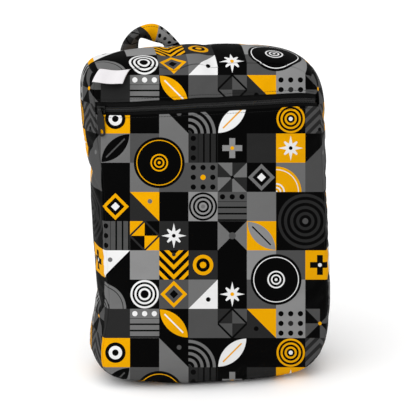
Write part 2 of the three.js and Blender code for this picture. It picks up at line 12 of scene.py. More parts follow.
import bpy
import numpy as np
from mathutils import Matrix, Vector

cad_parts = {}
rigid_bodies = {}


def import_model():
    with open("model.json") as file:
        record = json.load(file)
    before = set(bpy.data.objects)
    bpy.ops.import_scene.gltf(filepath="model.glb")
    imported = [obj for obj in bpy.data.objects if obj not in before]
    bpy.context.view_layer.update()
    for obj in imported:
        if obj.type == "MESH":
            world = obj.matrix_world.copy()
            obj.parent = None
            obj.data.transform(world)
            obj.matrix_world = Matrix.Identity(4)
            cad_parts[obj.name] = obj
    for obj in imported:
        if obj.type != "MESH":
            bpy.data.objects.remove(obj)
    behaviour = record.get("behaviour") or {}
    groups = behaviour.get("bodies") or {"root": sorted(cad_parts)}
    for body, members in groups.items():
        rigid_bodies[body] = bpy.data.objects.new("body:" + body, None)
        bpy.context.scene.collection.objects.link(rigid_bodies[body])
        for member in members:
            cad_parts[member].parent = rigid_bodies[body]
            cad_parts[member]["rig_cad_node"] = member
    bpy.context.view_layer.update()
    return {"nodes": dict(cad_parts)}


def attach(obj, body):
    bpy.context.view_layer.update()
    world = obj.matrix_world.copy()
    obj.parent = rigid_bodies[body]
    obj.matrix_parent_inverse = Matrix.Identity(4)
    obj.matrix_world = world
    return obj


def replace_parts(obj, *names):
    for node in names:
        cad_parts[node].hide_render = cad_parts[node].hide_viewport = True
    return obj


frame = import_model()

LOG = logging.getLogger("wet_bag")
MM = 0.001
LAY = "lay"  # the UV map that holds each point's place on the flat cloth, in millimetres
BAG = "bag"  # the body that everything but the pull rides on
SEAM_GAP = 0.3  # millimetres between one piece and the next at a seam
TINY = 1e-9  # keeps a division by a length of zero from failing


# Reading tables and curves

def smooth_through(places: np.ndarray, values: np.ndarray, at: np.ndarray) -> np.ndarray:
    """Read values that are given at places, smoothly between them.

    Args:
        places: rising places, one for each row of values.
        values: numbers, or arrays of numbers, one row for each place.
        at: the places to read, of any shape.

    Returns:
        The values there, with at's shape before that of one row.
    """
    count = len(places)
    at = np.clip(at, places[0], places[-1])
    ahead = np.minimum(np.arange(count) + 1, count - 1)
    behind = np.maximum(np.arange(count) - 1, 0)
    spans = (places[ahead] - places[behind]).reshape((-1,) + (1,) * (values.ndim - 1))
    slopes = (values[ahead] - values[behind]) / spans
    i = np.clip(np.searchsorted(places, at) - 1, 0, count - 2)
    width = (1,) * (values.ndim - 1)
    step = (places[i + 1] - places[i]).reshape(at.shape + width)
    s = ((at - places[i]).reshape(at.shape + width)) / step
    return (
        values[i] * (2 * s**3 - 3 * s**2 + 1)
        + slopes[i] * step * (s**3 - 2 * s**2 + s)
        + values[i + 1] * (3 * s**2 - 2 * s**3)
        + slopes[i + 1] * step * (s**3 - s**2)
    )


class Table:
    """Rows of numbers under named columns, read smoothly along the first column."""

    def __init__(self, columns: str, *rows: tuple[float, ...]) -> None:
        """Keep each column by its name."""
        self.names = columns.split()
        self.columns = dict(zip(self.names, np.array(rows, float).T))

    def along(self, column: str, at: np.ndarray) -> np.ndarray:
        """Read a column at places along the first one."""
        return smooth_through(self.columns[self.names[0]], self.columns[column], np.asarray(at, float))

    def rows(self) -> list[dict[str, float]]:
        """Give each row as a dict from column to value."""
        return [dict(zip(self.names, row)) for row in zip(*self.columns.values())]


def fine_stops(length: float, step: float, edge: tuple[float, ...]) -> np.ndarray:
    """Space stops along a length, closer together at its ends.

    Args:
        length: the whole length.
        step: the spacing away from the ends.
        edge: distances from either end at which the first stops lie.

    Returns:
        Rising distances from 0 to length.
    """
    near = np.array((0.0, *edge))
    far = length - near[::-1]
    between = max(int(round((far[0] - near[-1]) / step)), 1)
    return np.concatenate([near[:-1], np.linspace(near[-1], far[0], between + 1), far[1:]])


# The form of the bag

@dataclass(frozen=True)
class BagForm:
    """The filled bag's form in millimetres: the solids' form, with deeper folds.

    A panel's point is given by its share u across, from -1 at the left seam to 1 at the right, and
    its share v up, from -1 at the base to 1 at the top.
    """

    half_width: float = 150
    height: float = 435
    gusset_width: float = 104  # at its widest, from seam to seam
    front_bulge: float = 24  # how far the middle of the front stands out
    back_bulge: float = 18
    gusset_bulge: float = 9
    seam_bow: float = 9  # how much farther out front and back are in the middle than at the sides
    base_rise: float = 5  # height of the base seams
    arch: float = 12  # how far the corners are drawn in from the top and the base
    seam_wave: float = 7  # depth of a sag of the top front seam that the table calls 1
    full_across: float = 3.2  # the higher these three powers are, the squarer the fullness is
    full_up: float = 6
    full_gusset: float = 2.4
    crown_round: float = 0.8
    arch_fade: float = 6  # the higher these three powers are, the nearer to the top the effect stays
    sag_fade: float = 10
    lift_fade: float = 4
    fold_strength: float = 1.7  # how many times as deep the folds are as the solids'
    zip_drop: float = 51  # from the top seam to the zip's middle line
    zip_window: float = 17  # between the stitched edges
    zip_straightness: float = 0.8  # share of the rows' curve that is taken out at the zip
    zip_rise: float = 5
    sections: Table = Table(
        "height left right depth swell",
        (0.0, 0.95, 1.0, 1.0, 1.0),
        (0.1, 0.94, 1.02, 1.0, 1.0),
        (0.25, 0.875, 1.03, 1.0, 1.0),
        (0.45, 0.893, 1.0, 1.0, 1.0),
        (0.65, 0.91, 0.965, 0.98, 1.1),
        (0.8, 0.95, 0.945, 0.93, 1.3),
        (0.92, 0.965, 0.94, 0.86, 1.3),
        (1.0, 0.965, 0.94, 0.8, 1.0),
    )
    left_corners: Table = Table("up cut arch", (-1, 0.055, 1.05), (1, 0.035, 0.85))
    right_corners: Table = Table("up cut arch", (-1, 0.08, 0.6), (1, 0.095, 1.0))
    zip_rises: Table = Table(
        "across rise", (-1, 0), (-0.85, 0), (-0.5, 0.38), (0, 0.78), (0.5, 0.95), (0.8, 1), (1, 0.6)
    )
    top_sags: Table = Table("across spread depth", (-0.86, 0.14, 0.5), (-0.32, 0.1, 1.0), (0.04, 0.09, 0.85))
    front_folds: Table = Table(
        "across up turn reach breadth depth",
        (-0.62, 0.88, 24, 0.2, 0.05, -0.1),
        (-0.55, 0.84, 22, 0.2, 0.04, 0.07),
        (-0.6, 0.52, -38, 0.3, 0.08, -0.09),
        (-0.78, 0.2, 78, 0.5, 0.08, -0.11),
        (-0.84, -0.42, 58, 0.34, 0.09, -0.16),
        (-0.45, -0.7, 30, 0.4, 0.1, -0.07),
        (0.3, -0.78, -14, 0.45, 0.08, -0.06),
        (0.8, 0.1, 84, 0.6, 0.07, -0.07),
        (0.55, 0.55, 10, 0.4, 0.06, -0.06),
        (0.15, 0.86, -8, 0.3, 0.05, 0.05),
    )

    @property
    def seam_top(self) -> float:
        """The height of the top seams."""
        return self.height - self.gusset_bulge

    @property
    def half_height(self) -> float:
        """Half the height between the base seams and the top seams."""
        return (self.seam_top - self.base_rise) / 2

    @property
    def middle(self) -> float:
        """The height halfway between the base seams and the top seams."""
        return (self.seam_top + self.base_rise) / 2

    def up_from(self, drop: float | np.ndarray) -> float | np.ndarray:
        """The share up of a height below the top seam."""
        return 1 - drop / self.half_height

    @property
    def zip_line(self) -> float:
        """The share up of the zip's middle line."""
        return self.up_from(self.zip_drop)

    def outline(self, u: np.ndarray, v: np.ndarray, inset: float = 0) -> dict[str, np.ndarray]:
        """Lay shares across and up on the rounded outline, before any depth.

        Args:
            u: shares across.
            v: shares up.
            inset: how far inside the outline.

        Returns:
            x, z, half_depth and swell at each point.
        """
        left = u < 0
        either = lambda column, at: np.where(
            left, self.left_corners.along(column, at), self.right_corners.along(column, at)
        )
        cut = either("cut", v)
        power = (1 - cut) / cut
        across = u * (1 - cut * np.abs(v) ** power)
        up = v * (1 - cut * np.abs(u) ** power)
        height = (up + 1) / 2
        half = np.where(left, self.sections.along("left", height), self.sections.along("right", height))
        drawn = self.arch * either("arch", v) * across**2 * up**self.arch_fade
        return {
            "x": across * (self.half_width * half - inset),
            "z": self.middle + up * (self.half_height - inset) - np.sign(up) * drawn,
            "half_depth": self.gusset_width / 2 * self.sections.along("depth", height)
            + self.seam_bow * (1 - across**2)
            - inset,
            "swell": self.gusset_bulge * self.sections.along("swell", height),
        }

    def crown(self, u: np.ndarray, v: np.ndarray) -> np.ndarray:
        """Say how full a panel is, from 0 on its seam to 1 in the middle.

        Args:
            u: shares across.
            v: shares up.

        Returns:
            The fullness at each point.
        """
        full = (1 - np.abs(u) ** self.full_across) * (1 - np.abs(v) ** self.full_up)
        return np.maximum(full, 0) ** self.crown_round

    def folds(self, u: np.ndarray, v: np.ndarray) -> np.ndarray:
        """Add up the front's soft folds, each a smooth ridge or valley along a line.

        Args:
            u: shares across.
            v: shares up.

        Returns:
            How far the folds stand out at each point.
        """
        total = np.zeros(np.broadcast(u, v).shape)
        for row in self.front_folds.rows():
            dx = (u - row["across"]) * self.half_width
            dz = (v - row["up"]) * self.half_height
            cos, sin = math.cos(math.radians(row["turn"])), math.sin(math.radians(row["turn"]))
            lengthways = (dx * cos + dz * sin) / (row["reach"] * self.half_width)
            crossways = (dz * cos - dx * sin) / (row["breadth"] * self.half_width)
            total += row["depth"] * np.exp(-(crossways**2) - lengthways**4)
        return total * self.front_bulge * self.fold_strength

    def lifted(self, u: np.ndarray, v: np.ndarray) -> np.ndarray:
        """Lift the front's rows so that the zip runs nearly straight, with its rise.

        Args:
            u: shares across.
            v: shares up.

        Returns:
            The lifted shares up.
        """
        cut = np.where(u < 0, self.left_corners.along("cut", v), self.right_corners.along("cut", v))
        fall = cut * np.abs(u) ** ((1 - cut) / cut)
        straight = self.zip_straightness * self.zip_line * fall / (1 - fall)
        rise = self.zip_rise * self.zip_rises.along("rise", u) / self.half_height
        fade = (1 - v) * (np.maximum(v, 0) / self.zip_line) ** self.lift_fade / (1 - self.zip_line)
        return np.where(v > 0, v + (straight + rise) * fade, v)

    def front(self, u: np.ndarray, v: np.ndarray, inset: float = 0) -> np.ndarray:
        """Lay points on the front panel.

        Args:
            u: shares across.
            v: shares up.
            inset: how far inside the outside.

        Returns:
            The points.
        """
        u, v = np.broadcast_arrays(u, v)
        v = self.lifted(u, v)
        at = self.outline(u, v, inset)
        rise = (self.front_bulge + self.folds(u, v)) * self.crown(u, v)
        sag = np.zeros(u.shape)
        for row in self.top_sags.rows():
            sag += row["depth"] * np.exp(-(((u - row["across"]) / row["spread"]) ** 2))
        sag *= self.seam_wave * np.maximum(v, 0) ** self.sag_fade
        return np.stack([at["x"], -at["half_depth"] - rise, at["z"] - sag], -1)

    def back(self, u: np.ndarray, v: np.ndarray) -> np.ndarray:
        """Lay points on the back panel.

        Args:
            u: shares across.
            v: shares up.

        Returns:
            The points.
        """
        u, v = np.broadcast_arrays(u, v)
        at = self.outline(u, v)
        return np.stack([at["x"], at["half_depth"] + self.back_bulge * self.crown(u, v), at["z"]], -1)

    def gusset(self, around: np.ndarray, w: np.ndarray) -> np.ndarray:
        """Lay points on the gusset.

        Args:
            around: rows of u, v along the outline, in order.
            w: shares from the front seam at -1 to the back seam at 1.

        Returns:
            A grid of points, around by w.
        """
        u, v = around[:, 0], around[:, 1]
        at = self.outline(u, v)
        run = np.gradient(np.stack([at["x"], at["z"]], -1), axis=0)
        outward = np.stack([run[:, 1], np.zeros(len(run)), -run[:, 0]], -1)
        outward /= np.linalg.norm(outward, axis=1, keepdims=True)
        share = ((w + 1) / 2)[None, :, None]
        grid = self.front(u, v)[:, None] * (1 - share) + self.back(u, v)[:, None] * share
        swell = at["swell"][:, None] * (1 - np.abs(w) ** self.full_gusset)
        grid = grid + outward[:, None] * swell[..., None]
        grid[..., 2] = np.maximum(grid[..., 2], 0)
        return grid


FORM = BagForm()


@dataclass(frozen=True)
class View:
    """Where the bag is seen from, also the view in which the front's print runs level."""

    azimuth: float = -8
    elevation: float = 17
    distance: float = 2200
    look_height: float = 215

    def axes(self) -> np.ndarray:
        """Work out the view's directions.

        Returns:
            Unit vectors to the right, up and towards the eye, as rows.
        """
        turn, rise = math.radians(self.azimuth), math.radians(self.elevation)
        right = np.array([math.cos(turn), math.sin(turn), 0])
        level = np.array([math.sin(turn), -math.cos(turn), 0])
        toward = level * math.cos(rise) + np.array([0, 0, math.sin(rise)])
        return np.array([right, np.cross(toward, right), toward])

    def seen(self, points: np.ndarray) -> np.ndarray:
        """Where points appear, across and up in millimetres from the middle of the view."""
        placed = (points - np.array([0, 0, self.look_height])) @ self.axes().T
        return placed[..., :2] / (1 - placed[..., 2:] / self.distance)


VIEW = View()


# Making meshes

def unit(vectors: np.ndarray) -> np.ndarray:
    """Scale vectors to a length of 1."""
    return vectors / np.maximum(np.linalg.norm(vectors, axis=-1, keepdims=True), TINY)


def normals_of(grid: np.ndarray) -> np.ndarray:
    """Find the outward unit normals of a grid of points.

    Args:
        grid: rows and columns of points.

    Returns:
        The normals, turned away from the bag's middle.
    """
    normal = unit(np.cross(np.gradient(grid, axis=0), np.gradient(grid, axis=1)))
    middle = np.array([0, 0, FORM.middle])
    return normal if np.sum(normal * (grid - middle)) > 0 else -normal


def make_piece(
    name: str, points: np.ndarray, faces: list[list[int]], lay: np.ndarray | None = None
) -> bpy.types.Object:
    """Make a smooth mesh object.

    Args:
        name: the object's name.
        points: its points in millimetres.
        faces: point numbers of each face.
        lay: each point's place on the flat cloth, in millimetres.

    Returns:
        The new object.
    """
    mesh = bpy.data.meshes.new(name)
    mesh.from_pydata(points * MM, [], faces)
    mesh.polygons.foreach_set("use_smooth", np.ones(len(mesh.polygons), bool))
    if lay is not None:
        corners = np.empty(len(mesh.loops), int)
        mesh.loops.foreach_get("vertex_index", corners)
        layer = mesh.uv_layers.new(name=LAY)
        layer.uv.foreach_set("vector", np.asarray(lay, np.float32)[corners].ravel())
    mesh.update()
    piece = bpy.data.objects.new(name, mesh)
    bpy.context.scene.collection.objects.link(piece)
    return piece


def quads_of(rows: int, columns: int) -> np.ndarray:
    """List the faces of a grid of points.

    Args:
        rows: how many rows of points it has.
        columns: how many points a row has.

    Returns:
        The four point numbers of each face.
    """
    at = np.arange(rows * columns).reshape(rows, columns)
    corners = [at[:-1, :-1], at[1:, :-1], at[1:, 1:], at[:-1, 1:]]
    return np.stack(corners, -1).reshape(-1, 4)


def make_sheet(name: str, outer: np.ndarray, inner: np.ndarray, lay: np.ndarray) -> bpy.types.Object:
    """Close the space between two grids of points into one cloth wall.

    Args:
        name: the object's name.
        outer: the grid of its outside.
        inner: the grid of its inside.
        lay: the outer grid's places on the flat cloth.

    Returns:
        The new object, its faces pointing out.
    """
    rows, columns = outer.shape[:2]
    under = rows * columns
    top = quads_of(rows, columns)
    at = np.arange(under).reshape(rows, columns)
    edge = np.concatenate([at[0, :-1], at[:-1, -1], at[-1, :0:-1], at[:0:-1, 0]])
    ahead = np.roll(edge, -1)
    rim = np.stack([edge, ahead, ahead + under, edge + under], -1)
    faces = np.concatenate([top, top[:, ::-1] + under, rim])
    points = np.concatenate([outer.reshape(-1, 3), inner.reshape(-1, 3)])
    a, b, c, d = (points[faces[:, k]] for k in range(4))
    volume = np.sum(a * np.cross(b, c)) + np.sum(a * np.cross(c, d))
    faces = faces[:, ::-1] if volume < 0 else faces
    return make_piece(name, points, faces.tolist(), np.tile(lay.reshape(-1, 2), (2, 1)))


def tube(line: np.ndarray, radius: float, sides: int) -> tuple[np.ndarray, list[list[int]]]:
    """Make a closed round tube along a short line.

    Args:
        line: its points.
        radius: its radius.
        sides: how many sides it has.

    Returns:
        The tube's points and faces.
    """
    run = unit(np.gradient(line, axis=0))
    off_line = np.array([0.0, 1.0, 0.013])  # a direction in which none of the lines runs
    side = unit(np.cross(run, off_line))
    over = np.cross(side, run)
    turn = np.arange(sides) * math.tau / sides
    ring = np.cos(turn)[None, :, None] * side[:, None] + np.sin(turn)[None, :, None] * over[:, None]
    points = line[:, None] + ring * radius
    at = np.arange(len(line) * sides).reshape(-1, sides)
    around = np.roll(at, -1, axis=1)
    faces = np.stack([at[:-1], at[1:], around[1:], around[:-1]], -1).reshape(-1, 4).tolist()
    return points.reshape(-1, 3), faces + [at[0].tolist(), at[-1, ::-1].tolist()]


def area_of(grid: np.ndarray) -> float:
    """Measure a grid of points.

    Args:
        grid: rows and columns of points.

    Returns:
        Its area.
    """
    first, second = grid[1:, 1:] - grid[:-1, :-1], grid[:-1, 1:] - grid[1:, :-1]
    return float(np.sum(np.linalg.norm(np.cross(first, second), axis=-1)) / 2)


@dataclass
class Track:
    """A line on the cloth with its outward normals, read by the distance along it."""

    points: np.ndarray
    normals: np.ndarray

    def __post_init__(self) -> None:
        """Measure the distance to each point."""
        steps = np.linalg.norm(np.diff(self.points, axis=0), axis=1)
        self.reach = np.concatenate([[0], np.cumsum(steps)])

    @property
    def length(self) -> float:
        """The whole length."""
        return float(self.reach[-1])

    def frames(self, at: np.ndarray) -> tuple[np.ndarray, np.ndarray]:
        """Place a frame at each of some distances along the line.

        Args:
            at: the distances.

        Returns:
            The origins, and for each the axes along the line, to its side and outwards, as rows.
        """
        near = 0.5  # the direction is read over this distance to either side
        origin = smooth_through(self.reach, self.points, at)
        ahead = smooth_through(self.reach, self.points, at + near)
        behind = smooth_through(self.reach, self.points, at - near)
        along = unit(ahead - behind)
        out = unit(smooth_through(self.reach, self.normals, at))
        side = unit(np.cross(out, along))
        return origin, np.stack([along, side, np.cross(along, side)], 1)


def stamp(
    name: str, shape: tuple[np.ndarray, list[list[int]]], frames: tuple[np.ndarray, np.ndarray]
) -> bpy.types.Object:
    """Repeat one small shape along a track, joined as one mesh.

    Args:
        name: the piece's name.
        shape: the shape's points and faces.
        frames: the origins and axes at which it is placed.

    Returns:
        The new object.
    """
    points, faces = shape
    origins, axes = frames
    placed = origins[:, None] + np.einsum("pk,nkc->npc", points, axes)
    every = [[i + n * len(points) for i in face] for n in range(len(origins)) for face in faces]
    return make_piece(name, placed.reshape(-1, 3), every)


# Finishes

# The Mix node's sockets by number, because their names repeat for each kind of data.
FACTOR = 0
NUMBER_A = 2
NUMBER_B = 3
COLOUR_A = 6
COLOUR_B = 7
MIXED_COLOUR = 2


def linear(code: int) -> tuple[float, float, float, float]:
    """Turn an sRGB colour into a linear one.

    Args:
        code: the colour as a hex number.

    Returns:
        Red, green, blue and a full alpha.
    """
    shares = [((code >> shift) & 255) / 255 for shift in (16, 8, 0)]
    return (*(c / 12.92 if c <= 0.04045 else ((c + 0.055) / 1.055) ** 2.4 for c in shares), 1.0)


def plug(tree: bpy.types.NodeTree, node: bpy.types.Node, sockets: dict | tuple) -> None:
    """Fill a node's inputs.

    Args:
        tree: the material's nodes.
        node: the node.
        sockets: what goes into its inputs, by name, by number or in order: a value, a socket, a node's
            first output, or a formula such as ("ADD", a, b), which becomes Math nodes.
    """
    for socket, value in sockets.items() if isinstance(sockets, dict) else enumerate(sockets):
        if isinstance(value, tuple) and isinstance(value[0], str):
            value = add(tree, "ShaderNodeMath", value[1:], operation=value[0])
        if isinstance(value, bpy.types.Node):
            value = value.outputs[0]
        if isinstance(value, bpy.types.NodeSocket):
            tree.links.new(value, node.inputs[socket])
        else:
            node.inputs[socket].default_value = value


def add(tree: bpy.types.NodeTree, kind: str, sockets: dict | tuple = (), **settings) -> bpy.types.Node:
    """Add one node with its settings and links.

    Args:
        tree: the material's nodes.
        kind: the node's type.
        sockets: what goes into its inputs, as for plug.
        settings: the node's own settings.

    Returns:
        The new node.
    """
    node = tree.nodes.new(kind)
    for name, value in settings.items():
        setattr(node, name, value)
    plug(tree, node, sockets)
    return node


def fill_ramp(ramp: bpy.types.ColorRamp, colours: list[tuple[float, ...]]) -> None:
    """Give a ramp equal steps of plain colour.

    Args:
        ramp: the ramp, as new.
        colours: red, green, blue and alpha of each step, in order.
    """
    ramp.interpolation = "CONSTANT"
    ramp.elements.remove(ramp.elements[1])
    for i, colour in enumerate(colours):
        stop = ramp.elements[0] if i == 0 else ramp.elements.new(i / len(colours))
        stop.color = colour


def new_material(name: str) -> tuple[bpy.types.Material, bpy.types.NodeTree, bpy.types.Node]:
    """Make an empty material with a Principled shader on its output.

    Args:
        name: the material's name.

    Returns:
        The material, its nodes and its shader.
    """
    material = bpy.data.materials.new(name)
    material.use_nodes = True
    tree = material.node_tree
    tree.nodes.clear()
    shader = add(tree, "ShaderNodeBsdfPrincipled")
    add(tree, "ShaderNodeOutputMaterial", {"Surface": shader})
    return material, tree, shader


def relieve(
    tree: bpy.types.NodeTree, shader: bpy.types.Node, relief: bpy.types.Node | tuple, depth: float,
    colour: int, shade: float
) -> None:
    """Give a shader a fine relief whose hollows are painted a little darker, as shade.

    Args:
        tree: the material's nodes.
        shader: its Principled shader.
        relief: a node or a formula, 0 in the hollows and 1 on the tops.
        depth: how deep the hollows are, in millimetres.
        colour: the tops' colour as a hex number.
        shade: how much darker the hollows are painted, as shade.
    """
    tops = linear(colour)
    # The hollows' colour is painted shade: the tops' colour made darker.
    hollows = (*(part * (1 - shade) for part in tops[:3]), 1.0)
    mix = {FACTOR: relief, COLOUR_A: hollows, COLOUR_B: tops}
    mixed = add(tree, "ShaderNodeMix", mix, data_type="RGBA").outputs[MIXED_COLOUR]
    bump = add(tree, "ShaderNodeBump", {"Height": relief, "Distance": depth * MM, "Strength": 1.0})
    plug(tree, shader, {"Base Color": mixed, "Normal": bump})


class Ink(Enum):
    """The inks of the print, by the letter that the chart uses."""

    BLACK = "k"
    CHARCOAL = "c"
    DARK_GREY = "d"
    GREY = "m"
    LIGHT_GREY = "l"
    WHITE = "w"
    GOLD = "y"


INK_COLOURS = {
    Ink.BLACK: 0x030303,
    Ink.CHARCOAL: 0x242424,
    Ink.DARK_GREY: 0x484848,
    Ink.GREY: 0x666666,
    Ink.LIGHT_GREY: 0x808080,
    Ink.WHITE: 0xD9D9D9,
    Ink.GOLD: 0xDA9A00,
}


class Motif(Enum):
    """The motifs of the print, by the letter that the chart uses."""

    PLAIN = "P"
    TRIANGLE = "T"
    QUARTER = "Q"
    LEAF = "L"
    DOT = "D"
    RINGS = "R"
    BARS = "B"
    BEADS = "G"
    DIAMOND = "M"
    PINWHEEL = "W"
    STAR = "S"
    FOUR_PATCH = "F"
    CHEVRONS = "V"
    ARCS = "A"
    CROSS = "X"
    HOURGLASS = "H"


# One repeat of the patchwork, top row first. A patch is its motif, its quarter turns, and the inks of
# its ground, its figure and its accent.
PATCHES = """
L1mkd Q3dky Q0mky B0ckk X0kly P0ccc S0ywk T1kdm
P0kkk Q2mky Q1dky G0dky W0cmk M0kmw Q0myw P0ddd
M0kyw T0cym P0kkk R0lkm B1dkk P0mmm A3kcd A0kcd
B0dkk F0ykc S0cwk P0kkk H1mkd L0ylk A2kcd A1kcd
T3kwm P0lll V2kyc D0cyk P0kkk Q3lkw Q0dkw X0ykw
Q0kmc R0kwk M0dyk T1mwk S0kwy Q2dkw Q1lkw P0kkk
P0ccc B1mkw L2kyw P0ddd F0cdk T2yck G1lkc W0kdy
D0ykw P0kkk T0mkd A0kmc L3kwy P0kkk R0kyw V0cdk
"""


@dataclass(frozen=True)
class PrintedLaminate:
    """Polyester knit, screen printed and laminated on its inside.

    The ink sits in the knit, so the colours are even and nearly matt, with a fine grain of stitches
    and the shallow creases of a laminate.
    """

    square: float = 38.0  # millimetres
    knit_pitch: float = 1.6  # real stitches are 0.8 mm apart, and are drawn coarser so that they show
    knit_depth: float = 0.05
    crease_size: float = 20.0
    crease_depth: float = 0.8
    crease_detail: float = 3.0
    roughness: float = 0.6
    ior: float = 1.5
    specular: float = 0.02  # ink in a knit breaks up nearly all of the mirror light
    same: float = 0.1  # how near two numbers of motifs are that count as the same

    def motif_masks(self, p: tuple, q: tuple) -> dict[Motif, tuple]:
        """Say where each motif's figure and accent lie in its patch.

        The numbers here are sizes and places, in halves of a patch.

        Args:
            p: the place across the patch, from -1 to 1.
            q: the place up the patch, from -1 to 1.

        Returns:
            For each motif the formulas of its figure and its accent, 1 inside and 0 outside.
        """
        across, up = ("ABSOLUTE", p), ("ABSOLUTE", q)
        length = lambda a, b: ("SQRT", ("ADD", ("MULTIPLY", a, a), ("MULTIPLY", b, b)))
        both = lambda a, b: ("MULTIPLY", a, b)
        under = lambda a, b: ("LESS_THAN", a, b)
        over = lambda a, b: ("GREATER_THAN", a, b)
        teeth = lambda a, share: under(("FRACT", a), share)
        between = lambda a, low, high: both(over(a, low), under(a, high))
        middle = length(p, q)
        corner = length(("ADD", p, 1), ("ADD", q, 1))
        far_corner = length(("SUBTRACT", p, 1), ("SUBTRACT", q, 1))
        off_middle = length(("SUBTRACT", p, 0.36), ("SUBTRACT", q, 0.36))
        diagonal = ("ADD", across, up)
        corner_rings = both(under(corner, 0.7), teeth(("MULTIPLY", corner, 4), 0.4))
        spot = lambda a: ("SUBTRACT", ("FRACT", ("MULTIPLY", ("ADD", a, 1), 1.5)), 0.5)
        bead = under(length(spot(p), spot(q)), 0.27)
        spike = lambda a, b: under(("ADD", ("MULTIPLY", a, 4.5), b), 0.86)
        slant = lambda sign: ("ABSOLUTE", ("MULTIPLY", ("ADD", p, ("MULTIPLY", q, sign)), 0.7071))
        rays = ("MAXIMUM", spike(across, up), spike(up, across))
        short_rays = ("MAXIMUM", spike(slant(1), slant(-1)), spike(slant(-1), slant(1)))
        near_middle = under(middle, 0.62)
        arm = both(under(("MINIMUM", across, up), 0.2), under(("MAXIMUM", across, up), 0.68))
        return {
            Motif.TRIANGLE: (over(("ADD", p, q), 0), under(off_middle, 0.16)),
            Motif.QUARTER: (
                under(corner, 1.74),
                ("MAXIMUM", between(corner, 1.5, 1.56), corner_rings),
            ),
            Motif.LEAF: (
                both(under(corner, 1.96), under(far_corner, 1.96)),
                both(under(("ABSOLUTE", ("ADD", p, q)), 0.07), under(middle, 0.9)),
            ),
            Motif.DOT: (under(middle, 0.7), between(middle, 0.22, 0.46)),
            Motif.RINGS: (
                both(teeth(("MULTIPLY", middle, 3.6), 0.5), under(middle, 0.97)),
                under(middle, 0.14),
            ),
            Motif.BARS: (
                both(over(p, -0.35), teeth(("MULTIPLY", p, 2.3), 0.26)),
                both(bead, under(p, -0.35)),
            ),
            Motif.BEADS: (bead, both(bead, both(under(across, 0.3), under(up, 0.3)))),
            Motif.DIAMOND: (between(diagonal, 0.62, 0.92), under(diagonal, 0.3)),
            Motif.PINWHEEL: (
                over(both(("SUBTRACT", across, up), both(p, q)), 0),
                under(middle, 0.12),
            ),
            Motif.STAR: (("MAXIMUM", rays, both(short_rays, near_middle)), under(middle, 0.13)),
            Motif.FOUR_PATCH: (
                over(both(p, q), 0),
                under(("ABSOLUTE", ("SUBTRACT", diagonal, 1)), 0.09),
            ),
            Motif.CHEVRONS: (
                teeth(("MULTIPLY", ("ADD", q, across), 1.5), 0.5),
                under(length(p, ("ADD", q, 0.72)), 0.13),
            ),
            Motif.ARCS: (
                both(teeth(("MULTIPLY", corner, 2.4), 0.5), under(corner, 1.95)),
                under(corner, 0.2),
            ),
            Motif.CROSS: (arm, under(middle, 0.13)),
            Motif.HOURGLASS: (over(across, up), under(middle, 0.24)),
        }

    def coded(self, patch: str) -> tuple[float, ...]:
        """Write a patch as a colour, because a ramp holds nothing else.

        Args:
            patch: its motif, its quarter turns and its three inks.

        Returns:
            The motif and its turn as the red, and the inks as the green, the blue and the alpha.
        """
        motif, turn, *colours = patch
        kind = list(Motif).index(Motif(motif)) + int(turn) / 4
        inks = [list(Ink).index(Ink(colour)) / len(Ink) for colour in colours]
        return (kind / len(Motif), *inks)

    def charted(
        self, tree: bpy.types.NodeTree, u: tuple, v: tuple
    ) -> tuple[bpy.types.NodeSocket, bpy.types.NodeSocket]:
        """Add the nodes that look a patch up in the chart.

        One ramp has too few steps for the whole chart, so each of two ramps holds one half of it.

        Args:
            tree: the material's nodes.
            u: the place across the cloth in squares.
            v: the place up the cloth in squares.

        Returns:
            The coded patch's colour and its alpha.
        """
        rows = [line.split() for line in reversed(PATCHES.strip().splitlines())]
        patches = [patch for row in rows for patch in row]
        half = len(patches) // 2
        wrap = lambda a: ("FLOORED_MODULO", ("FLOOR", a), float(len(rows)))
        steps = (wrap(u), ("MULTIPLY", wrap(v), float(len(rows))))
        number = add(tree, "ShaderNodeMath", steps, operation="ADD")
        charts = []
        for start in (0, half):
            place = ("DIVIDE", ("ADD", number, 0.5 - start), float(half))
            chart = add(tree, "ShaderNodeValToRGB", {"Fac": place})
            fill_ramp(chart.color_ramp, [self.coded(patch) for patch in patches[start : start + half]])
            charts.append(chart.outputs)
        (first, first_alpha), (second, second_alpha) = charts
        later = ("GREATER_THAN", number, half - 0.5)
        colours = {FACTOR: later, COLOUR_A: first, COLOUR_B: second}
        alphas = {FACTOR: later, NUMBER_A: first_alpha, NUMBER_B: second_alpha}
        return (
            add(tree, "ShaderNodeMix", colours, data_type="RGBA").outputs[MIXED_COLOUR],
            add(tree, "ShaderNodeMix", alphas, data_type="FLOAT").outputs[0],
        )

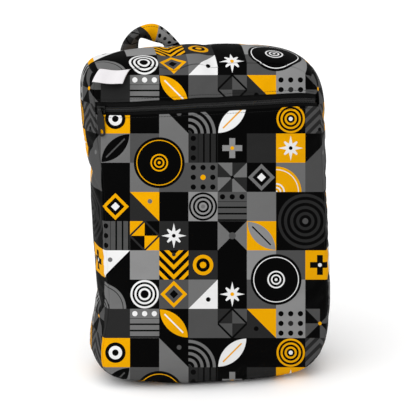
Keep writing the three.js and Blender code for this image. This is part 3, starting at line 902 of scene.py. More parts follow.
    def inked(self, tree: bpy.types.NodeTree, u: tuple, v: tuple) -> bpy.types.NodeSocket:
        """Add the nodes of the patchwork.

        Args:
            tree: the material's nodes.
            u: the place across the cloth in squares.
            v: the place up the cloth in squares.

        Returns:
            The colour of the print.
        """
        code, accent_code = self.charted(tree, u, v)
        parts = add(tree, "ShaderNodeSeparateColor", (code,)).outputs
        kind = add(tree, "ShaderNodeMath", (parts[0], float(len(Motif))), operation="MULTIPLY")
        turn = ("MULTIPLY", ("ROUND", ("MULTIPLY", ("FRACT", kind), 4.0)), math.pi / 2)
        centred = lambda a: ("SUBTRACT", ("MULTIPLY", ("FRACT", a), 2.0), 1.0)
        local = add(tree, "ShaderNodeCombineXYZ", (centred(u), centred(v)))
        spin = {"Vector": local, "Angle": turn}
        spun = add(tree, "ShaderNodeVectorRotate", spin, rotation_type="Z_AXIS")
        place = add(tree, "ShaderNodeSeparateXYZ", (spun,)).outputs
        masks = self.motif_masks(place[0], place[1])
        figure, accent = 0.0, 0.0
        for number, motif in enumerate(Motif):
            if motif in masks:
                pair = (("FLOOR", kind), float(number), self.same)
                chosen = add(tree, "ShaderNodeMath", pair, operation="COMPARE")
                figure = ("ADD", figure, ("MULTIPLY", chosen, masks[motif][0]))
                accent = ("ADD", accent, ("MULTIPLY", chosen, masks[motif][1]))
        colours = []
        for place in (parts[1], parts[2], accent_code):
            palette = add(tree, "ShaderNodeValToRGB", {"Fac": ("ADD", place, 0.5 / len(Ink))})
            fill_ramp(palette.color_ramp, [linear(INK_COLOURS[ink]) for ink in Ink])
            colours.append(palette.outputs[0])
        colour = colours[0]
        for share, ink in ((figure, colours[1]), (accent, colours[2])):
            mix = {FACTOR: share, COLOUR_A: colour, COLOUR_B: ink}
            colour = add(tree, "ShaderNodeMix", mix, data_type="RGBA").outputs[MIXED_COLOUR]
        return colour

    def material(self) -> bpy.types.Material:
        """Make the material.

        Returns:
            The material, its print laid by the LAY map.
        """
        material, tree, shader = new_material("printed_polyester_laminate")
        lay = add(tree, "ShaderNodeSeparateXYZ", (add(tree, "ShaderNodeUVMap", uv_map=LAY),)).outputs
        wave = lambda a: ("SINE", ("MULTIPLY", a, math.tau / self.knit_pitch))
        knit = ("MULTIPLY", ("MULTIPLY", wave(lay[0]), wave(lay[1])), self.knit_depth * MM)
        place = add(tree, "ShaderNodeNewGeometry").outputs["Position"]
        noise = {"Vector": place, "Scale": 1 / (self.crease_size * MM), "Detail": self.crease_detail}
        crease = add(tree, "ShaderNodeTexNoise", noise)
        height = ("ADD", knit, ("MULTIPLY", crease, self.crease_depth * MM))
        bump = add(tree, "ShaderNodeBump", {"Height": height, "Distance": 1.0, "Strength": 1.0})
        squares = [("DIVIDE", lay[axis], self.square) for axis in (0, 1)]
        plug(tree, shader, {
            "Base Color": self.inked(tree, *squares),
            "Roughness": self.roughness,
            "Specular IOR Level": self.specular,
            "IOR": self.ior,
            "Normal": bump,
        })
        return material


@dataclass(frozen=True)
class Finish:
    """A plain finish with a fine grain in its surface, the grain's hollows painted darker as shade."""

    name: str
    colour: int
    roughness: float
    specular: float
    grain: float  # millimetres from one grain to the next
    grain_depth: float
    grain_detail: float = 2.0
    ior: float = 1.5
    coat: float = 0.0
    shade: float = 0.12  # how much darker the hollows of the grain are painted, as shade

    def material(self) -> bpy.types.Material:
        """Make the material.

        Returns:
            The material.
        """
        material, tree, shader = new_material(self.name)
        place = add(tree, "ShaderNodeTexCoord").outputs["Object"]
        noise = {"Vector": place, "Scale": 1 / (self.grain * MM), "Detail": self.grain_detail}
        grain = add(tree, "ShaderNodeTexNoise", noise)
        relieve(tree, shader, grain, self.grain_depth, self.colour, self.shade)
        plug(tree, shader, {
            "Roughness": self.roughness,
            "IOR": self.ior,
            "Coat Weight": self.coat,
            "Specular IOR Level": self.specular,
        })
        return material


@dataclass(frozen=True)
class WovenRib:
    """Polyester tape or ribbon, woven in fine ribs: matt, with thin lines of light along the ribs and
    painted shade in the gaps between them.
    """

    name: str
    colour: int
    rib: float  # millimetres from rib to rib, across the tape
    pick: float  # millimetres from pick to pick, along the tape
    depth: float
    roughness: float = 0.7
    ior: float = 1.5
    specular: float = 0.1
    dip: float = 0.4  # how much lower a rib is between its picks
    shade: float = 0.25  # how much darker the gaps between ribs are painted, as shade

    def material(self) -> bpy.types.Material:
        """Make the material.

        Returns:
            The material, its ribs laid by the LAY map.
        """
        material, tree, shader = new_material(self.name)
        lay = add(tree, "ShaderNodeSeparateXYZ", (add(tree, "ShaderNodeUVMap", uv_map=LAY),)).outputs
        wave = lambda a, pitch: ("ABSOLUTE", ("SINE", ("MULTIPLY", a, math.pi / pitch)))
        picks = ("ADD", ("MULTIPLY", wave(lay[0], self.pick), self.dip), 1 - self.dip)
        weave = ("MULTIPLY", wave(lay[1], self.rib), picks)
        relieve(tree, shader, weave, self.depth, self.colour, self.shade)
        plug(tree, shader, {
            "Roughness": self.roughness,
            "IOR": self.ior,
            "Specular IOR Level": self.specular,
        })
        return material


def dress(
    piece: bpy.types.Object, material: bpy.types.Material, body: str = BAG
) -> bpy.types.Object:
    """Give a piece its material and the body that it rides on.

    Args:
        piece: the piece, new or a node of the frame, which has its slot and body already.
        material: its finish.
        body: its body.

    Returns:
        The same piece.
    """
    piece.data.materials.clear()
    piece.data.materials.append(material)
    if "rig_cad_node" not in piece:
        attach(piece, body)
    LOG.info("%s: %d faces in %s", piece.name, len(piece.data.polygons), material.name)
    return piece


# The sewn bag

@dataclass(frozen=True)
class Movement:
    """How far the cloth moves from its form, on a grid with a place for each row and column."""

    moved: np.ndarray
    rows: np.ndarray
    columns: np.ndarray

    def at(self, rows: np.ndarray, columns: np.ndarray) -> np.ndarray:
        """Read the movement on another grid."""
        along = smooth_through(self.rows, self.moved, rows)
        return np.swapaxes(smooth_through(self.columns, np.swapaxes(along, 0, 1), columns), 0, 1)


@dataclass
class Filling:
    """Fills the sewn bag by cloth simulation, and says how far each point of the form moves."""

    columns: int = 40
    rows: int = 56
    across: int = 12
    frames: int = 20
    quality: int = 6
    mass: float = 0.2
    stretch_stiffness: float = 12
    shear_stiffness: float = 4
    bend_stiffness: float = 0.4
    pressure: float = 2.5
    spare: float = 0.012  # how much larger the cloth is than the form that it fills
    cap: float = 4.0  # millimetres that a point may move
    zip_hold: float = 7.0  # millimetres of cloth by the zip that stay in place
    ground_hold: float = 2.0  # cloth that lies lower than this stays in place

    def __post_init__(self) -> None:
        """Simulate, and keep the movement of each panel."""
        us = np.linspace(-1, 1, self.columns + 1)
        self.vs = np.linspace(-1, 1, self.rows + 1)
        ws = np.linspace(-1, 1, self.across + 1)
        around = outline_walk(us, self.vs)
        grids = [
            FORM.front(us[:, None], self.vs[None]),
            FORM.back(us[:, None], self.vs[None]),
            FORM.gusset(around, ws),
        ]
        moved = self.simulate(grids)
        self.front = Movement(moved[0], us, self.vs)
        self.back = Movement(moved[1], us, self.vs)
        self.gusset = Movement(moved[2], distance_round(around), ws)

    def held(self, grids: list[np.ndarray]) -> np.ndarray:
        """Say which points stay in place: by the zip, on the seams and on the ground.

        Args:
            grids: the points of the front, the back and the gusset.

        Returns:
            Whether each point is held, grid after grid.
        """
        front, back, gusset = (np.zeros(grid.shape[:2], bool) for grid in grids)
        reach = FORM.zip_window / 2 + self.zip_hold
        front[:, np.abs(self.vs - FORM.zip_line) * FORM.half_height < reach] = True
        gusset[:, [0, -1]] = True
        gusset |= grids[2][..., 2] < self.ground_hold
        return np.concatenate([front.ravel(), back.ravel(), gusset.ravel()])

    def set_cloth(self, sewn: bpy.types.Object, held: str) -> None:
        """Give the sewn bag its cloth simulation.

        Args:
            sewn: the bag, welded into one mesh.
            held: the name of the group of its points that stay in place.
        """
        cloth = sewn.modifiers.new("cloth", "CLOTH")
        cloth.point_cache.frame_end = self.frames
        settings = cloth.settings
        settings.quality = self.quality
        settings.mass = self.mass
        settings.tension_stiffness = self.stretch_stiffness
        settings.compression_stiffness = self.stretch_stiffness
        settings.shear_stiffness = self.shear_stiffness
        settings.bending_stiffness = self.bend_stiffness
        settings.use_pressure = True
        settings.uniform_pressure_force = self.pressure
        settings.shrink_min = -self.spare
        settings.vertex_group_mass = held
        settings.effector_weights.gravity = 0

    def simulate(self, grids: list[np.ndarray]) -> list[np.ndarray]:
        """Weld the grids, blow the cloth up and read how far each point moved.

        Args:
            grids: the points of the front, the back and the gusset.

        Returns:
            For each grid how far its points move, none of them farther than the cap.
        """
        every = np.concatenate([grid.reshape(-1, 3) for grid in grids])
        points, place = np.unique(np.round(every, 3), axis=0, return_inverse=True)
        place = place.ravel()
        starts = np.cumsum([0] + [grid.shape[0] * grid.shape[1] for grid in grids])
        quads = place[np.concatenate([outward_quads(g) + s for g, s in zip(grids, starts)])].tolist()
        sewn = make_piece("sewn_bag", points, [quad for quad in quads if len(set(quad)) == len(quad)])
        group = sewn.vertex_groups.new(name="held")
        group.add(np.unique(place[self.held(grids)]).tolist(), 1.0, "REPLACE")
        self.set_cloth(sewn, group.name)
        for number in range(1, self.frames + 1):
            bpy.context.scene.frame_set(number)
        filled = sewn.evaluated_get(bpy.context.evaluated_depsgraph_get())
        after = np.empty(points.size)
        filled.data.vertices.foreach_get("co", after)
        moved = after.reshape(-1, 3) / MM - points
        bpy.data.objects.remove(sewn)
        bpy.context.scene.frame_set(1)
        far = np.linalg.norm(moved, axis=1, keepdims=True)
        LOG.info("cloth moved %.1f mm at most, %.1f mm on average", far.max(), far.mean())
        moved *= self.cap * np.tanh(far / self.cap) / np.maximum(far, TINY)
        parts = np.split(moved[place], starts[1:-1])
        return [part.reshape(grid.shape) for part, grid in zip(parts, grids)]


def outward_quads(grid: np.ndarray) -> np.ndarray:
    """List the faces of a grid of points, turned away from the bag's middle.

    Args:
        grid: rows and columns of points.

    Returns:
        The four point numbers of each face.
    """
    quads = quads_of(*grid.shape[:2])
    a, b, c, d = (grid.reshape(-1, 3)[quads[:, k]] for k in range(4))
    outward = np.sum(np.cross(c - a, d - b) * (a - np.array([0, 0, FORM.middle])))
    return quads if outward > 0 else quads[:, ::-1]


def outline_walk(us: np.ndarray, vs: np.ndarray) -> np.ndarray:
    """Walk once round the outline, from the middle of the base to the right and back.

    Args:
        us: shares across.
        vs: shares up.

    Returns:
        Rows of u, v.
    """
    middle = len(us) // 2
    walk = [(u, -1) for u in us[middle:-1]]
    walk += [(1, v) for v in vs[:-1]]
    walk += [(u, 1) for u in us[:0:-1]]
    walk += [(-1, v) for v in vs[:0:-1]]
    walk += [(u, -1) for u in us[: middle + 1]]
    return np.array(walk, float)


def distance_round(around: np.ndarray) -> np.ndarray:
    """Measure how far along the outline each point lies, on the plain box.

    Args:
        around: rows of u, v along the outline.

    Returns:
        The distances.
    """
    size = np.array([FORM.half_width, FORM.half_height])
    steps = np.linalg.norm(np.diff(around * size, axis=0), axis=1)
    return np.concatenate([[0], np.cumsum(steps)])


def rolled_in(distance: np.ndarray, radius: float) -> np.ndarray:
    """Say how deep the cloth lies at a distance from an edge that it rolls into."""
    near = np.clip(1 - distance / radius, 0, 1)
    return radius * (1 - np.sqrt(1 - near**2))


@dataclass
class ClothPanels:
    """The printed panels: lower and upper front, back and gusset."""

    cloth: float = 1.6
    roll: float = 2.2  # radius at which the cloth turns in at a seam
    hem: float = 9.0  # width of the fold along the zip
    hem_rise: float = 0.5
    hem_slope: float = 1.5  # width in which the hem falls to the single cloth
    stitch_from_edge: float = 3.2
    stitch_width: float = 0.9
    stitch_sink: float = 0.5
    zip_edge: float = 0.8  # radius of the folded edge along the zip
    corner_sink: float = 0.5  # how deep the gusset's joining seams are, as a share of the others
    end_gap: float = 0.1  # half the gap between the gusset's two ends, under the base
    step: float = 4.5
    edge_stops: tuple[float, ...] = (0.3, 0.7, 1.2, 1.7, 2.4, 3.2, 4.2, 6.0, 8.5)
    lay_start: tuple[float, float] = (134.9, -104.7)  # the middle of the view, on the flat cloth
    filling: Filling = field(default_factory=Filling)
    hems: dict[str, Track] = field(default_factory=dict)

    def shares(self, half: float, gap: float = 0) -> np.ndarray:
        """Space shares from -1 to 1 along a panel, closer together at its ends.

        Args:
            half: half the panel's length.
            gap: how far before its seams the panel ends.

        Returns:
            The shares.
        """
        stops = fine_stops(2 * half, self.step, self.edge_stops)
        return (stops / half - 1) * (1 - gap / half)

    def hemmed(self, distance: np.ndarray) -> np.ndarray:
        """Raise the cloth along the zip into a hem with the channel of its stitches.

        Args:
            distance: how far each point is from the zip's edge.

        Returns:
            How far the points rise.
        """
        step = np.clip((self.hem - distance) / self.hem_slope, 0, 1)
        channel = np.exp(-(((distance - self.stitch_from_edge) / self.stitch_width) ** 2))
        return self.hem_rise * step - self.stitch_sink * channel

    def wall(
        self, name: str, grid: np.ndarray, offset: np.ndarray, lay: np.ndarray, material: bpy.types.Material
    ) -> tuple[np.ndarray, np.ndarray]:
        """Make one panel.

        Args:
            name: the node that it stands for.
            grid: its smooth outside.
            offset: how far each point moves out along its normal.
            lay: each point's place on the flat cloth.
            material: its finish.

        Returns:
            The outside as made, and its normals.
        """
        normal = normals_of(grid)
        outer = grid + normal * offset[..., None]
        outer[..., 2] = np.maximum(outer[..., 2], 0)
        inner = outer - normal * self.cloth
        inner[..., 2] = np.maximum(inner[..., 2], self.cloth * (outer[..., 2] < self.cloth))
        piece = make_sheet("printed_" + name, outer, inner, lay)
        dress(piece, material)
        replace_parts(piece, name)
        LOG.info("%s: %.0f square mm of cloth", name, area_of(outer))
        return outer, normal

    def laid(self, grid: np.ndarray) -> np.ndarray:
        """Say where each point is on the front's print, which runs level as the bag is seen."""
        return VIEW.seen(grid) + np.array(self.lay_start)

    def front(self, name: str, low: float, high: float, material: bpy.types.Material) -> None:
        """Make a front panel, with its hem and the line of its stitches.

        Args:
            name: the node that it stands for.
            low: the share up of its lower edge.
            high: the share up of its upper edge.
            material: its finish.
        """
        us = self.shares(FORM.half_width, SEAM_GAP / 2)
        height = (high - low) * FORM.half_height
        ups = fine_stops(height, self.step, self.edge_stops)
        vs = low + ups / FORM.half_height
        zip_distance, seam_distance = (height - ups, ups) if low < 0 else (ups, height - ups)
        grid = FORM.front(us[:, None], vs[None]) + self.filling.front.at(us, vs)
        sides = (1 - np.abs(us))[:, None] * FORM.half_width
        sink = np.maximum(rolled_in(sides, self.roll), rolled_in(seam_distance, self.roll)[None])
        sink = np.maximum(sink, rolled_in(zip_distance, self.zip_edge)[None])
        rise = self.hemmed(zip_distance)[None] * np.clip(sides / self.hem, 0, 1)
        skin, normal = self.wall(name, grid, rise - sink, self.laid(grid), material)
        row = np.argmin(np.abs(zip_distance - self.stitch_from_edge))
        self.hems[name] = Track(skin[:, row], normal[:, row])

    def back(self, material: bpy.types.Material) -> None:
        """Make the back panel.

        Args:
            material: its finish.
        """
        us = self.shares(FORM.half_width, SEAM_GAP / 2)
        vs = self.shares(FORM.half_height, SEAM_GAP / 2)
        grid = FORM.back(us[:, None], vs[None]) + self.filling.back.at(us, vs)
        sides = (1 - np.abs(us))[:, None] * FORM.half_width
        ends = (1 - np.abs(vs))[None] * FORM.half_height
        sink = np.maximum(rolled_in(sides, self.roll), rolled_in(ends, self.roll))
        lay = np.stack([-grid[..., 0], grid[..., 2]], -1)
        self.wall("back_panel", grid, -sink, lay, material)

    def gusset(self, material: bpy.types.Material) -> None:
        """Make the strip round the sides, top and base, with a joining seam at each corner.

        Its print carries on from the front's, row for row at the sides and column for column at the
        top and the base.

        Args:
            material: its finish.
        """
        around = outline_walk(self.shares(FORM.half_width), self.shares(FORM.half_height))
        half = FORM.gusset_width / 2
        ws = self.shares(half, SEAM_GAP)
        grid = FORM.gusset(around, ws) + self.filling.gusset.at(distance_round(around), ws)
        u, v = around.T
        steps = np.linalg.norm(np.diff(grid, axis=1), axis=-1)
        depth = np.concatenate([np.zeros((len(around), 1)), np.cumsum(steps, axis=1)], axis=1)
        side = np.abs(u) == 1
        away = np.stack([np.where(side, u, 0), np.where(side, 0, v)], -1)
        lay = self.laid(FORM.front(u, v))[:, None] + away[:, None] * depth[..., None]
        corner = np.where(side, (1 - np.abs(v)) * FORM.half_height, (1 - np.abs(u)) * FORM.half_width)
        seams = rolled_in((1 - np.abs(ws)) * half, self.roll)[None]
        sink = np.maximum(seams, self.corner_sink * rolled_in(corner, self.roll)[:, None])
        grid[[0, -1], :, 0] = [[self.end_gap], [-self.end_gap]]
        self.wall("gusset", grid, -sink, lay, material)

    def build(self, material: bpy.types.Material) -> None:
        """Make all four panels.

        Args:
            material: their finish.
        """
        edges = [FORM.up_from(FORM.zip_drop + side * FORM.zip_window / 2) for side in (1, -1)]
        top = 1 - SEAM_GAP / 2 / FORM.half_height
        self.front("front_panel_lower", -top, edges[0], material)
        self.front("front_panel_upper", edges[1], top, material)
        self.back(material)
        self.gusset(material)


@dataclass
class Stitching:
    """Lockstitches: short arched threads in a row, each sunk in the cloth at both ends."""

    pitch: float = 3.4
    length: float = 2.7
    radius: float = 0.24
    arch: float = 0.22
    stops: int = 7  # points along one stitch
    sides: int = 6
    margin: float = 5.0  # how far from the line's ends the stitches stay

    def sew(self, name: str, track: Track, thread: bpy.types.Material) -> None:
        """Sew one row of stitches.

        Args:
            name: the piece's name.
            track: the line that it follows.
            thread: its finish.
        """
        along = np.linspace(-0.5, 0.5, self.stops)
        arch = self.arch * (1 - 8 * along**2)  # as far under the cloth at its ends as over it in the middle
        line = np.stack([along * self.length, 0 * along, arch], -1)
        at = np.arange(self.margin, track.length - self.margin, self.pitch)
        dress(stamp(name, tube(line, self.radius, self.sides), track.frames(at)), thread)


# Zip, loop and label

@dataclass
class Zip:
    """The zip: two tapes, the coil's turns, and the slider and pull of the frame with rounded edges."""

    tape: float = 0.9  # thickness
    tape_level: float = 1.9  # the tapes' outside under the cloth's
    under_cloth: float = 6.0  # how far the tapes go on behind the cloth
    parting: float = 3.4  # between the tapes' inner edges
    pitch: float = 1.3  # from turn to turn of one side's wire
    wire: float = 0.45
    half_coil: float = 3.0  # from the middle line to a side's outermost wire
    past_middle: float = 0.9  # how far a turn reaches past the zip's middle line
    rise: float = 2.1  # height of the coil over the tapes
    turn_stops: int = 9  # points along one turn
    turn_sides: int = 7
    coil_start: float = 7.0  # from the middle line's left end to the first turn
    coil_margin: float = 4.0  # from the last turn to its right end
    track_stops: int = 201
    track_inset: float = 2.0  # how far before the seams the middle line ends
    tape_inset: float = 0.5  # how far before the seams the tapes end
    tape_stops: tuple[int, int] = (90, 14)  # along and across one tape
    weld: float = 0.01  # points of the frame's solids closer than this become one
    edge_round: float = 0.25
    round_steps: int = 3
    sharp: float = 40  # degrees from which an edge is rounded

    def line(self) -> Track:
        """Lay the zip's middle line across the bag, on the outside of the tapes.

        Returns:
            The line with its normals.
        """
        us = np.linspace(-1, 1, self.track_stops) * (1 - self.track_inset / FORM.half_width)
        beside = 0.01  # share up of the rows on both sides, from which the normals are read
        vs = FORM.zip_line + beside * np.arange(-1, 2)
        strip = FORM.front(us[:, None], vs[None], self.tape_level)
        return Track(strip[:, 1], normals_of(strip)[:, 1])

    def tapes(self, material: bpy.types.Material) -> None:
        """Make the two tapes.

        Args:
            material: their finish.
        """
        reach = FORM.zip_window / 2 + self.under_cloth
        along, across = self.tape_stops
        us = np.linspace(-1, 1, along) * (1 - self.tape_inset / FORM.half_width)
        for name, side in (("zip_tape_upper", -1), ("zip_tape_lower", 1)):
            drops = FORM.zip_drop + side * np.linspace(self.parting / 2, reach, across)
            outer = FORM.front(us[:, None], FORM.up_from(drops)[None], self.tape_level)
            inner = outer - normals_of(outer) * self.tape
            lay = np.stack(np.broadcast_arrays(us[:, None] * FORM.half_width, drops[None]), -1)
            piece = make_sheet("woven_" + name, outer, inner, lay)
            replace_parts(dress(piece, material), name)

    def coil(self, material: bpy.types.Material) -> None:
        """Make the turns of both sides, each from its tape to just past the middle.

        Args:
            material: their finish.
        """
        track = self.line()
        turn = np.linspace(0, 1, self.turn_stops)
        bow = np.sin(math.pi * (0.85 * turn + 0.08)) ** 0.45  # the blunt arch of a pressed coil
        high = self.wire + (self.rise - 2 * self.wire) * bow
        for name, side in (("upper", 1), ("lower", -1)):
            across = side * (self.half_coil - turn * (self.half_coil + self.past_middle))
            line = np.stack([0 * turn, across, high], -1)
            start = self.coil_start + (self.pitch / 2 if side > 0 else 0)
            at = np.arange(start, track.length - self.coil_margin, self.pitch)
            shape = tube(line, self.wire, self.turn_sides)
            piece = stamp("coil_turns_" + name, shape, track.frames(at))
            dress(piece, material)
            if side > 0:
                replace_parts(piece, "zip_coil")

    def hardware(self, material: bpy.types.Material) -> None:
        """Round the edges of the frame's slider and pull and give them their finish.

        Args:
            material: their finish.
        """
        for name, body in (("zip_slider", BAG), ("zip_pull", "pull")):
            piece = frame["nodes"][name]
            weld = piece.modifiers.new("weld", "WELD")
            weld.merge_threshold = self.weld * MM
            bevel = piece.modifiers.new("bevel", "BEVEL")
            bevel.width = self.edge_round * MM
            bevel.segments = self.round_steps
            bevel.limit_method = "ANGLE"
            bevel.angle_limit = math.radians(self.sharp)
            dress(piece, material, body)

    def build(self, tape: bpy.types.Material, coil: bpy.types.Material, metal: bpy.types.Material) -> None:
        """Make the whole zip.

        Args:
            tape: the tapes' finish.
            coil: the coil's finish.
            metal: the slider's and the pull's finish.
        """
        self.tapes(tape)
        self.coil(coil)
        self.hardware(metal)


@dataclass
class HangingLoop:
    """The padded band that stands in the top back seam."""

    span: float = 60  # the unit of the table's places along the seam
    rise: float = 33  # height over the seam
    width: float = 25
    thickness: float = 3
    from_side: float = 84  # from the left seam to its middle
    fill: float = 0.5  # the folded layers of cloth make it a thin, slack pad
    round_stops: int = 60
    across_stops: int = 22
    edge_power: int = 4  # how squarely the pad's edges turn
    run: float = 2.4  # the band's length along the print, in spans
    stitch_share: float = 0.12  # of the width, from each edge to its stitches
    lay_start: tuple[float, float] = (130.0, 70.0)  # where the band is cut from the print
    edges: Table = Table(
        "round outer outer_rise inner inner_rise",
        (0.0, -0.7, 0.0, -0.29, 0.0),
        (0.1, -0.66, 0.25, -0.29, 0.15),
        (0.2, -0.6, 0.47, -0.285, 0.29),
        (0.3, -0.49, 0.7, -0.27, 0.42),
        (0.4, -0.35, 0.87, -0.23, 0.48),
        (0.5, -0.17, 0.98, -0.14, 0.43),
        (0.6, 0.02, 1.0, -0.02, 0.33),
        (0.7, 0.185, 0.89, 0.08, 0.26),
        (0.8, 0.345, 0.66, 0.18, 0.2),
        (0.9, 0.505, 0.35, 0.25, 0.12),
        (1.0, 0.66, 0.0, 0.27, 0.0),
    )

    def grid(self, round_: np.ndarray, share: np.ndarray, front: np.ndarray) -> np.ndarray:
        """Lay points on the band.

        Args:
            round_: shares round the band, from its left foot to its right one.
            share: shares across it, from its outer edge to its inner one.
            front: for each of these, 0 on its back and 1 on its front.

        Returns:
            A grid of points, round by across.
        """
        middle = self.from_side / FORM.half_width - 1
        reach = self.span / 2 / FORM.half_width
        feet = FORM.back(np.array([middle - reach, middle + reach]), np.ones(2))
        stretch = self.span / (feet[1, 0] - feet[0, 0])
        outer, inner = (
            np.stack([self.edges.along(name, round_) for name in (edge, edge + "_rise")], -1)
            * np.array([self.span, self.rise])
            for edge in ("outer", "inner")
        )
        # A shallow arch over a chord is longer than it by 8/3 of its height squared over the chord.
        chord = np.minimum(np.linalg.norm(outer - inner, axis=1), self.width)
        arch = np.sqrt(3 / 8 * chord * (self.width - chord)) * np.sin(math.pi * round_) ** FORM.crown_round
        flat = outer[:, None] * (1 - share)[None, :, None] + inner[:, None] * share[None, :, None]
        forward = 4 * arch[:, None] * (share * (1 - share))[None] + self.thickness * front[None]
        seam = FORM.back(middle + stretch * flat[..., 0] / FORM.half_width, np.ones(flat.shape[:2]))
        return seam + np.stack([0 * forward, self.thickness - forward, flat[..., 1] + SEAM_GAP], -1)

    def build(self, material: bpy.types.Material, thread: bpy.types.Material) -> None:
        """Make the band, with round edges and a row of stitches along each.

        Args:
            material: the band's finish.
            thread: the stitches' finish.
        """
        round_ = np.linspace(0, 1, self.round_stops)
        share = (1 - np.cos(np.linspace(0, math.pi, self.across_stops))) / 2
        pillow = 0.5 * (1 - np.abs(2 * share - 1) ** self.edge_power) ** 0.5
        outer = self.grid(round_, share, 0.5 + pillow)
        inner = self.grid(round_, share, 0.5 - pillow)
        run = self.lay_start[0] + np.linspace(0, self.run * self.span, self.round_stops)
        across = self.lay_start[1] - share * self.width
        lay = np.stack(np.broadcast_arrays(run[:, None], across[None]), -1)
        piece = make_sheet("printed_hanging_loop", outer, inner, lay)
        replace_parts(dress(piece, material), "hanging_loop")
        normal = normals_of(outer)
        faces_back = normal[self.round_stops // 2, self.across_stops // 2, 1] > 0
        normal = -normal if faces_back else normal
        for name, at in (("outer", self.stitch_share), ("inner", 1 - self.stitch_share)):
            row = np.argmin(np.abs(share - at))
            track = Track(outer[:, row], normal[:, row])
            Stitching().sew("loop_stitches_" + name, track, thread)


@dataclass
class Label:
    """The ribbon label, folded double and sewn into the top front seam."""

    width: float = 38
    drop: float = 17  # how far it reaches down from the seam
    flare: float = 12  # how far its fold stands out from the cloth
    lean: float = 9  # how far its fold is shifted to the left
    curl: float = 1.5  # power with which the flare grows
    from_side: float = 25.5  # from the left seam to its middle
    ribbon: float = 0.5  # thickness
    flat_length: float = 54  # both layers of the drop with its flare, without the ends in the seam
    fold: float = 1.0  # half the space that the fold takes up
    fold_power: int = 14  # how tightly the ribbon turns at its fold
    peek: float = 1.6  # how far the under layer, painted dark brown as shade, shows past the right edge
    stand: tuple[float, float] = (10.5, 1.5)  # how far its left and right stand up over the seam
    stand_by: float = 0.15  # share of the drop in which they reach it
    stand_fall: float = 0.36  # share of it that is lost again down to the fold
    layer_steps: int = 22
    layer_power: float = 1.4  # crowds the steps towards the seam
    side_steps: int = 24
    margin: float = 0.001  # how far it stays from the front's corner, in shares

    def build(self, filling: Filling, face: bpy.types.Material, back: bpy.types.Material) -> None:
        """Make the ribbon as one closed folded band, white outside, its under layer painted dark brown as
        the shade in its fold.

        Args:
            filling: the movement of the cloth that it lies on.
            face: the ribbon's finish.
            back: its under side's finish, a dark brown that paints the shade in the fold.
        """
        middle = self.from_side / FORM.half_width - 1
        sides = np.linspace(-1, 1, self.side_steps)
        steps = self.layer_steps
        layer_down = np.linspace(0, 1, steps) ** self.layer_power
        down = np.concatenate([layer_down, layer_down[::-1]])
        under = np.arange(2 * steps) >= steps
        us = np.maximum(middle + self.width / 2 / FORM.half_width * sides, -1 + self.margin)
        vs = 1 - self.margin - self.drop / FORM.half_height * down
        order = np.argsort(vs)
        moved = filling.front.at(us, vs[order])
        hung = FORM.front(us[:, None], vs[None]) + moved[:, np.argsort(order)]
        hung[..., 0] += self.peek * np.sin(math.pi * down) * under - self.lean * down
        hung[..., 1] -= 2 * SEAM_GAP + self.flare * down**self.curl
        stand = np.interp(sides, (-1, 1), self.stand)[:, None]
        hung[..., 2] += stand * np.sqrt(np.minimum(down / self.stand_by, 1)) * (1 - self.stand_fall * down)
        layer = np.where(under, -1, 1) * self.fold * np.sqrt(np.clip(1 - down**self.fold_power, 0, 1))
        hung[..., 1] -= self.fold + layer
        lay = np.stack(np.broadcast_arrays(sides[:, None] * self.width / 2, down[None] * self.drop), -1)
        inside = hung + np.array([0, 1, 0]) * np.where(under, -self.ribbon, self.ribbon)[None, :, None]
        piece = make_sheet("folded_label", hung, inside, lay)
        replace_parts(dress(piece, face), "label")
        LOG.info("label: %.0f square mm of ribbon", area_of(hung))
        # The under layer's faces take the dark brown finish that paints the fold's shade.
        piece.data.materials.append(back)
        for quad in piece.data.polygons:
            if min(point % len(down) for point in quad.vertices) > steps:
                quad.material_index = 1


# Studio

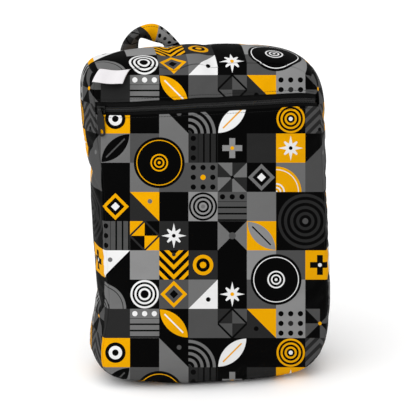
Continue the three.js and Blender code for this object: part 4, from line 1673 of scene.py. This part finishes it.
@dataclass
class Studio:
    """A plain pale floor, soft lights and the camera."""

    lens: float = 146.4  # on a 36 mm sensor
    shift: tuple[float, float] = (0.0084, 0.0144)
    floor_reach: float = 12000  # half the floor's side
    floor_colour: int = 0xFFFFFF
    floor_roughness: float = 0.9
    world_colour: int = 0xFFFFFF
    world_strength: float = 0.58

    def camera(self) -> None:
        """Place the camera at the photograph's angle."""
        data = bpy.data.cameras.new("camera")
        data.lens = self.lens
        data.shift_x, data.shift_y = self.shift
        toward = Vector(VIEW.axes()[2])
        camera = bpy.data.objects.new("camera", data)
        camera.location = (Vector((0, 0, VIEW.look_height)) + toward * VIEW.distance) * MM
        camera.rotation_euler = (-toward).to_track_quat("-Z", "Y").to_euler()
        bpy.context.scene.collection.objects.link(camera)
        bpy.context.scene.camera = camera

    def lamp(self, name: str, kind: str, place: tuple[float, float, float], **settings) -> None:
        """Hang a soft light that shines onto the bag.

        Args:
            name: the light's name.
            kind: Blender's kind of light.
            place: where it hangs, in metres.
            settings: its energy and size.
        """
        data = bpy.data.lights.new(name, kind)
        for setting, value in settings.items():
            setattr(data, setting, value)
        light = bpy.data.objects.new(name, data)
        light.location = place
        aim = Vector((0, 0, VIEW.look_height * MM)) - light.location
        light.rotation_euler = aim.to_track_quat("-Z", "Y").to_euler()
        bpy.context.scene.collection.objects.link(light)

    def build(self) -> None:
        """Make the floor, the lights and the camera."""
        corners = self.floor_reach * np.array([(-1, -1, 0), (1, -1, 0), (1, 1, 0), (-1, 1, 0)])
        floor = make_piece("floor", corners, [[0, 1, 2, 3]])
        # Paper: an uncoated sheet, white and matt, that takes a soft shadow.
        paper, tree, shader = new_material("matt_paper")
        plug(tree, shader, {"Base Color": linear(self.floor_colour), "Roughness": self.floor_roughness})
        floor.data.materials.append(paper)
        world = bpy.data.worlds.new("studio")
        world.use_nodes = True
        sky = {"Color": linear(self.world_colour), "Strength": self.world_strength}
        plug(world.node_tree, world.node_tree.nodes["Background"], sky)
        bpy.context.scene.world = world
        self.lamp("key", "SUN", (-0.6, -1.0, 2.2), energy=2.15, angle=math.radians(75))
        self.lamp("side", "AREA", (-1.7, -0.5, 0.9), energy=4, size=0.8)
        bpy.context.scene.view_settings.view_transform = "Standard"
        self.camera()


def main() -> None:
    """Build the bag and its studio, piece by piece."""
    logging.basicConfig(level=logging.INFO, format="%(name)s: %(message)s")
    Studio().build()
    cloth = PrintedLaminate().material()
    # Zip tape: black dyed polyester, matt, with fine ribs that catch a little light.
    tape = WovenRib("black_woven_polyester_tape", 0x040404, rib=1.4, pick=1.0, depth=0.12).material()
    # Label ribbon: white satin, with a faint shine across its fine ribs.
    ribbon = WovenRib(
        "white_satin_ribbon", 0xD7D4D6, rib=0.5, pick=0.4, depth=0.02, roughness=0.5, shade=0.06
    ).material()
    # The ribbon's under side: matt and dark brown, painted shade of the label's fold.
    painted_shade_under = WovenRib("brown_painted_shade_under_ribbon", 0x2A1814, rib=0.6, pick=0.8, depth=0.03).material()
    # Coil: black nylon monofilament, drawn and heat set, so it is glossy and picks out each turn.
    nylon = Finish(
        "black_nylon_monofilament", 0x0B0B0B, 0.38, ior=1.53, specular=0.35, grain=0.3, grain_depth=0.01
    ).material()
    # Slider and pull: die-cast zinc that black lacquer hides, so it shines as satin paint does.
    metal = Finish(
        "black_lacquered_zinc", 0x040404, 0.36, coat=0.1, specular=0.2, grain=0.5, grain_depth=0.01
    ).material()
    # Sewing thread: spun black polyester, a little hairy, so it hardly shines.
    thread = Finish(
        "black_polyester_thread", 0x121212, 0.7, specular=0.2, grain=0.25, grain_depth=0.03
    ).material()
    panels = ClothPanels()
    panels.build(cloth)
    for name, track in panels.hems.items():
        Stitching().sew("hem_stitches_" + name, track, thread)
    Zip().build(tape, nylon, metal)
    HangingLoop().build(cloth, thread)
    Label().build(panels.filling, ribbon, painted_shade_under)


if __name__ == "__main__":
    main()
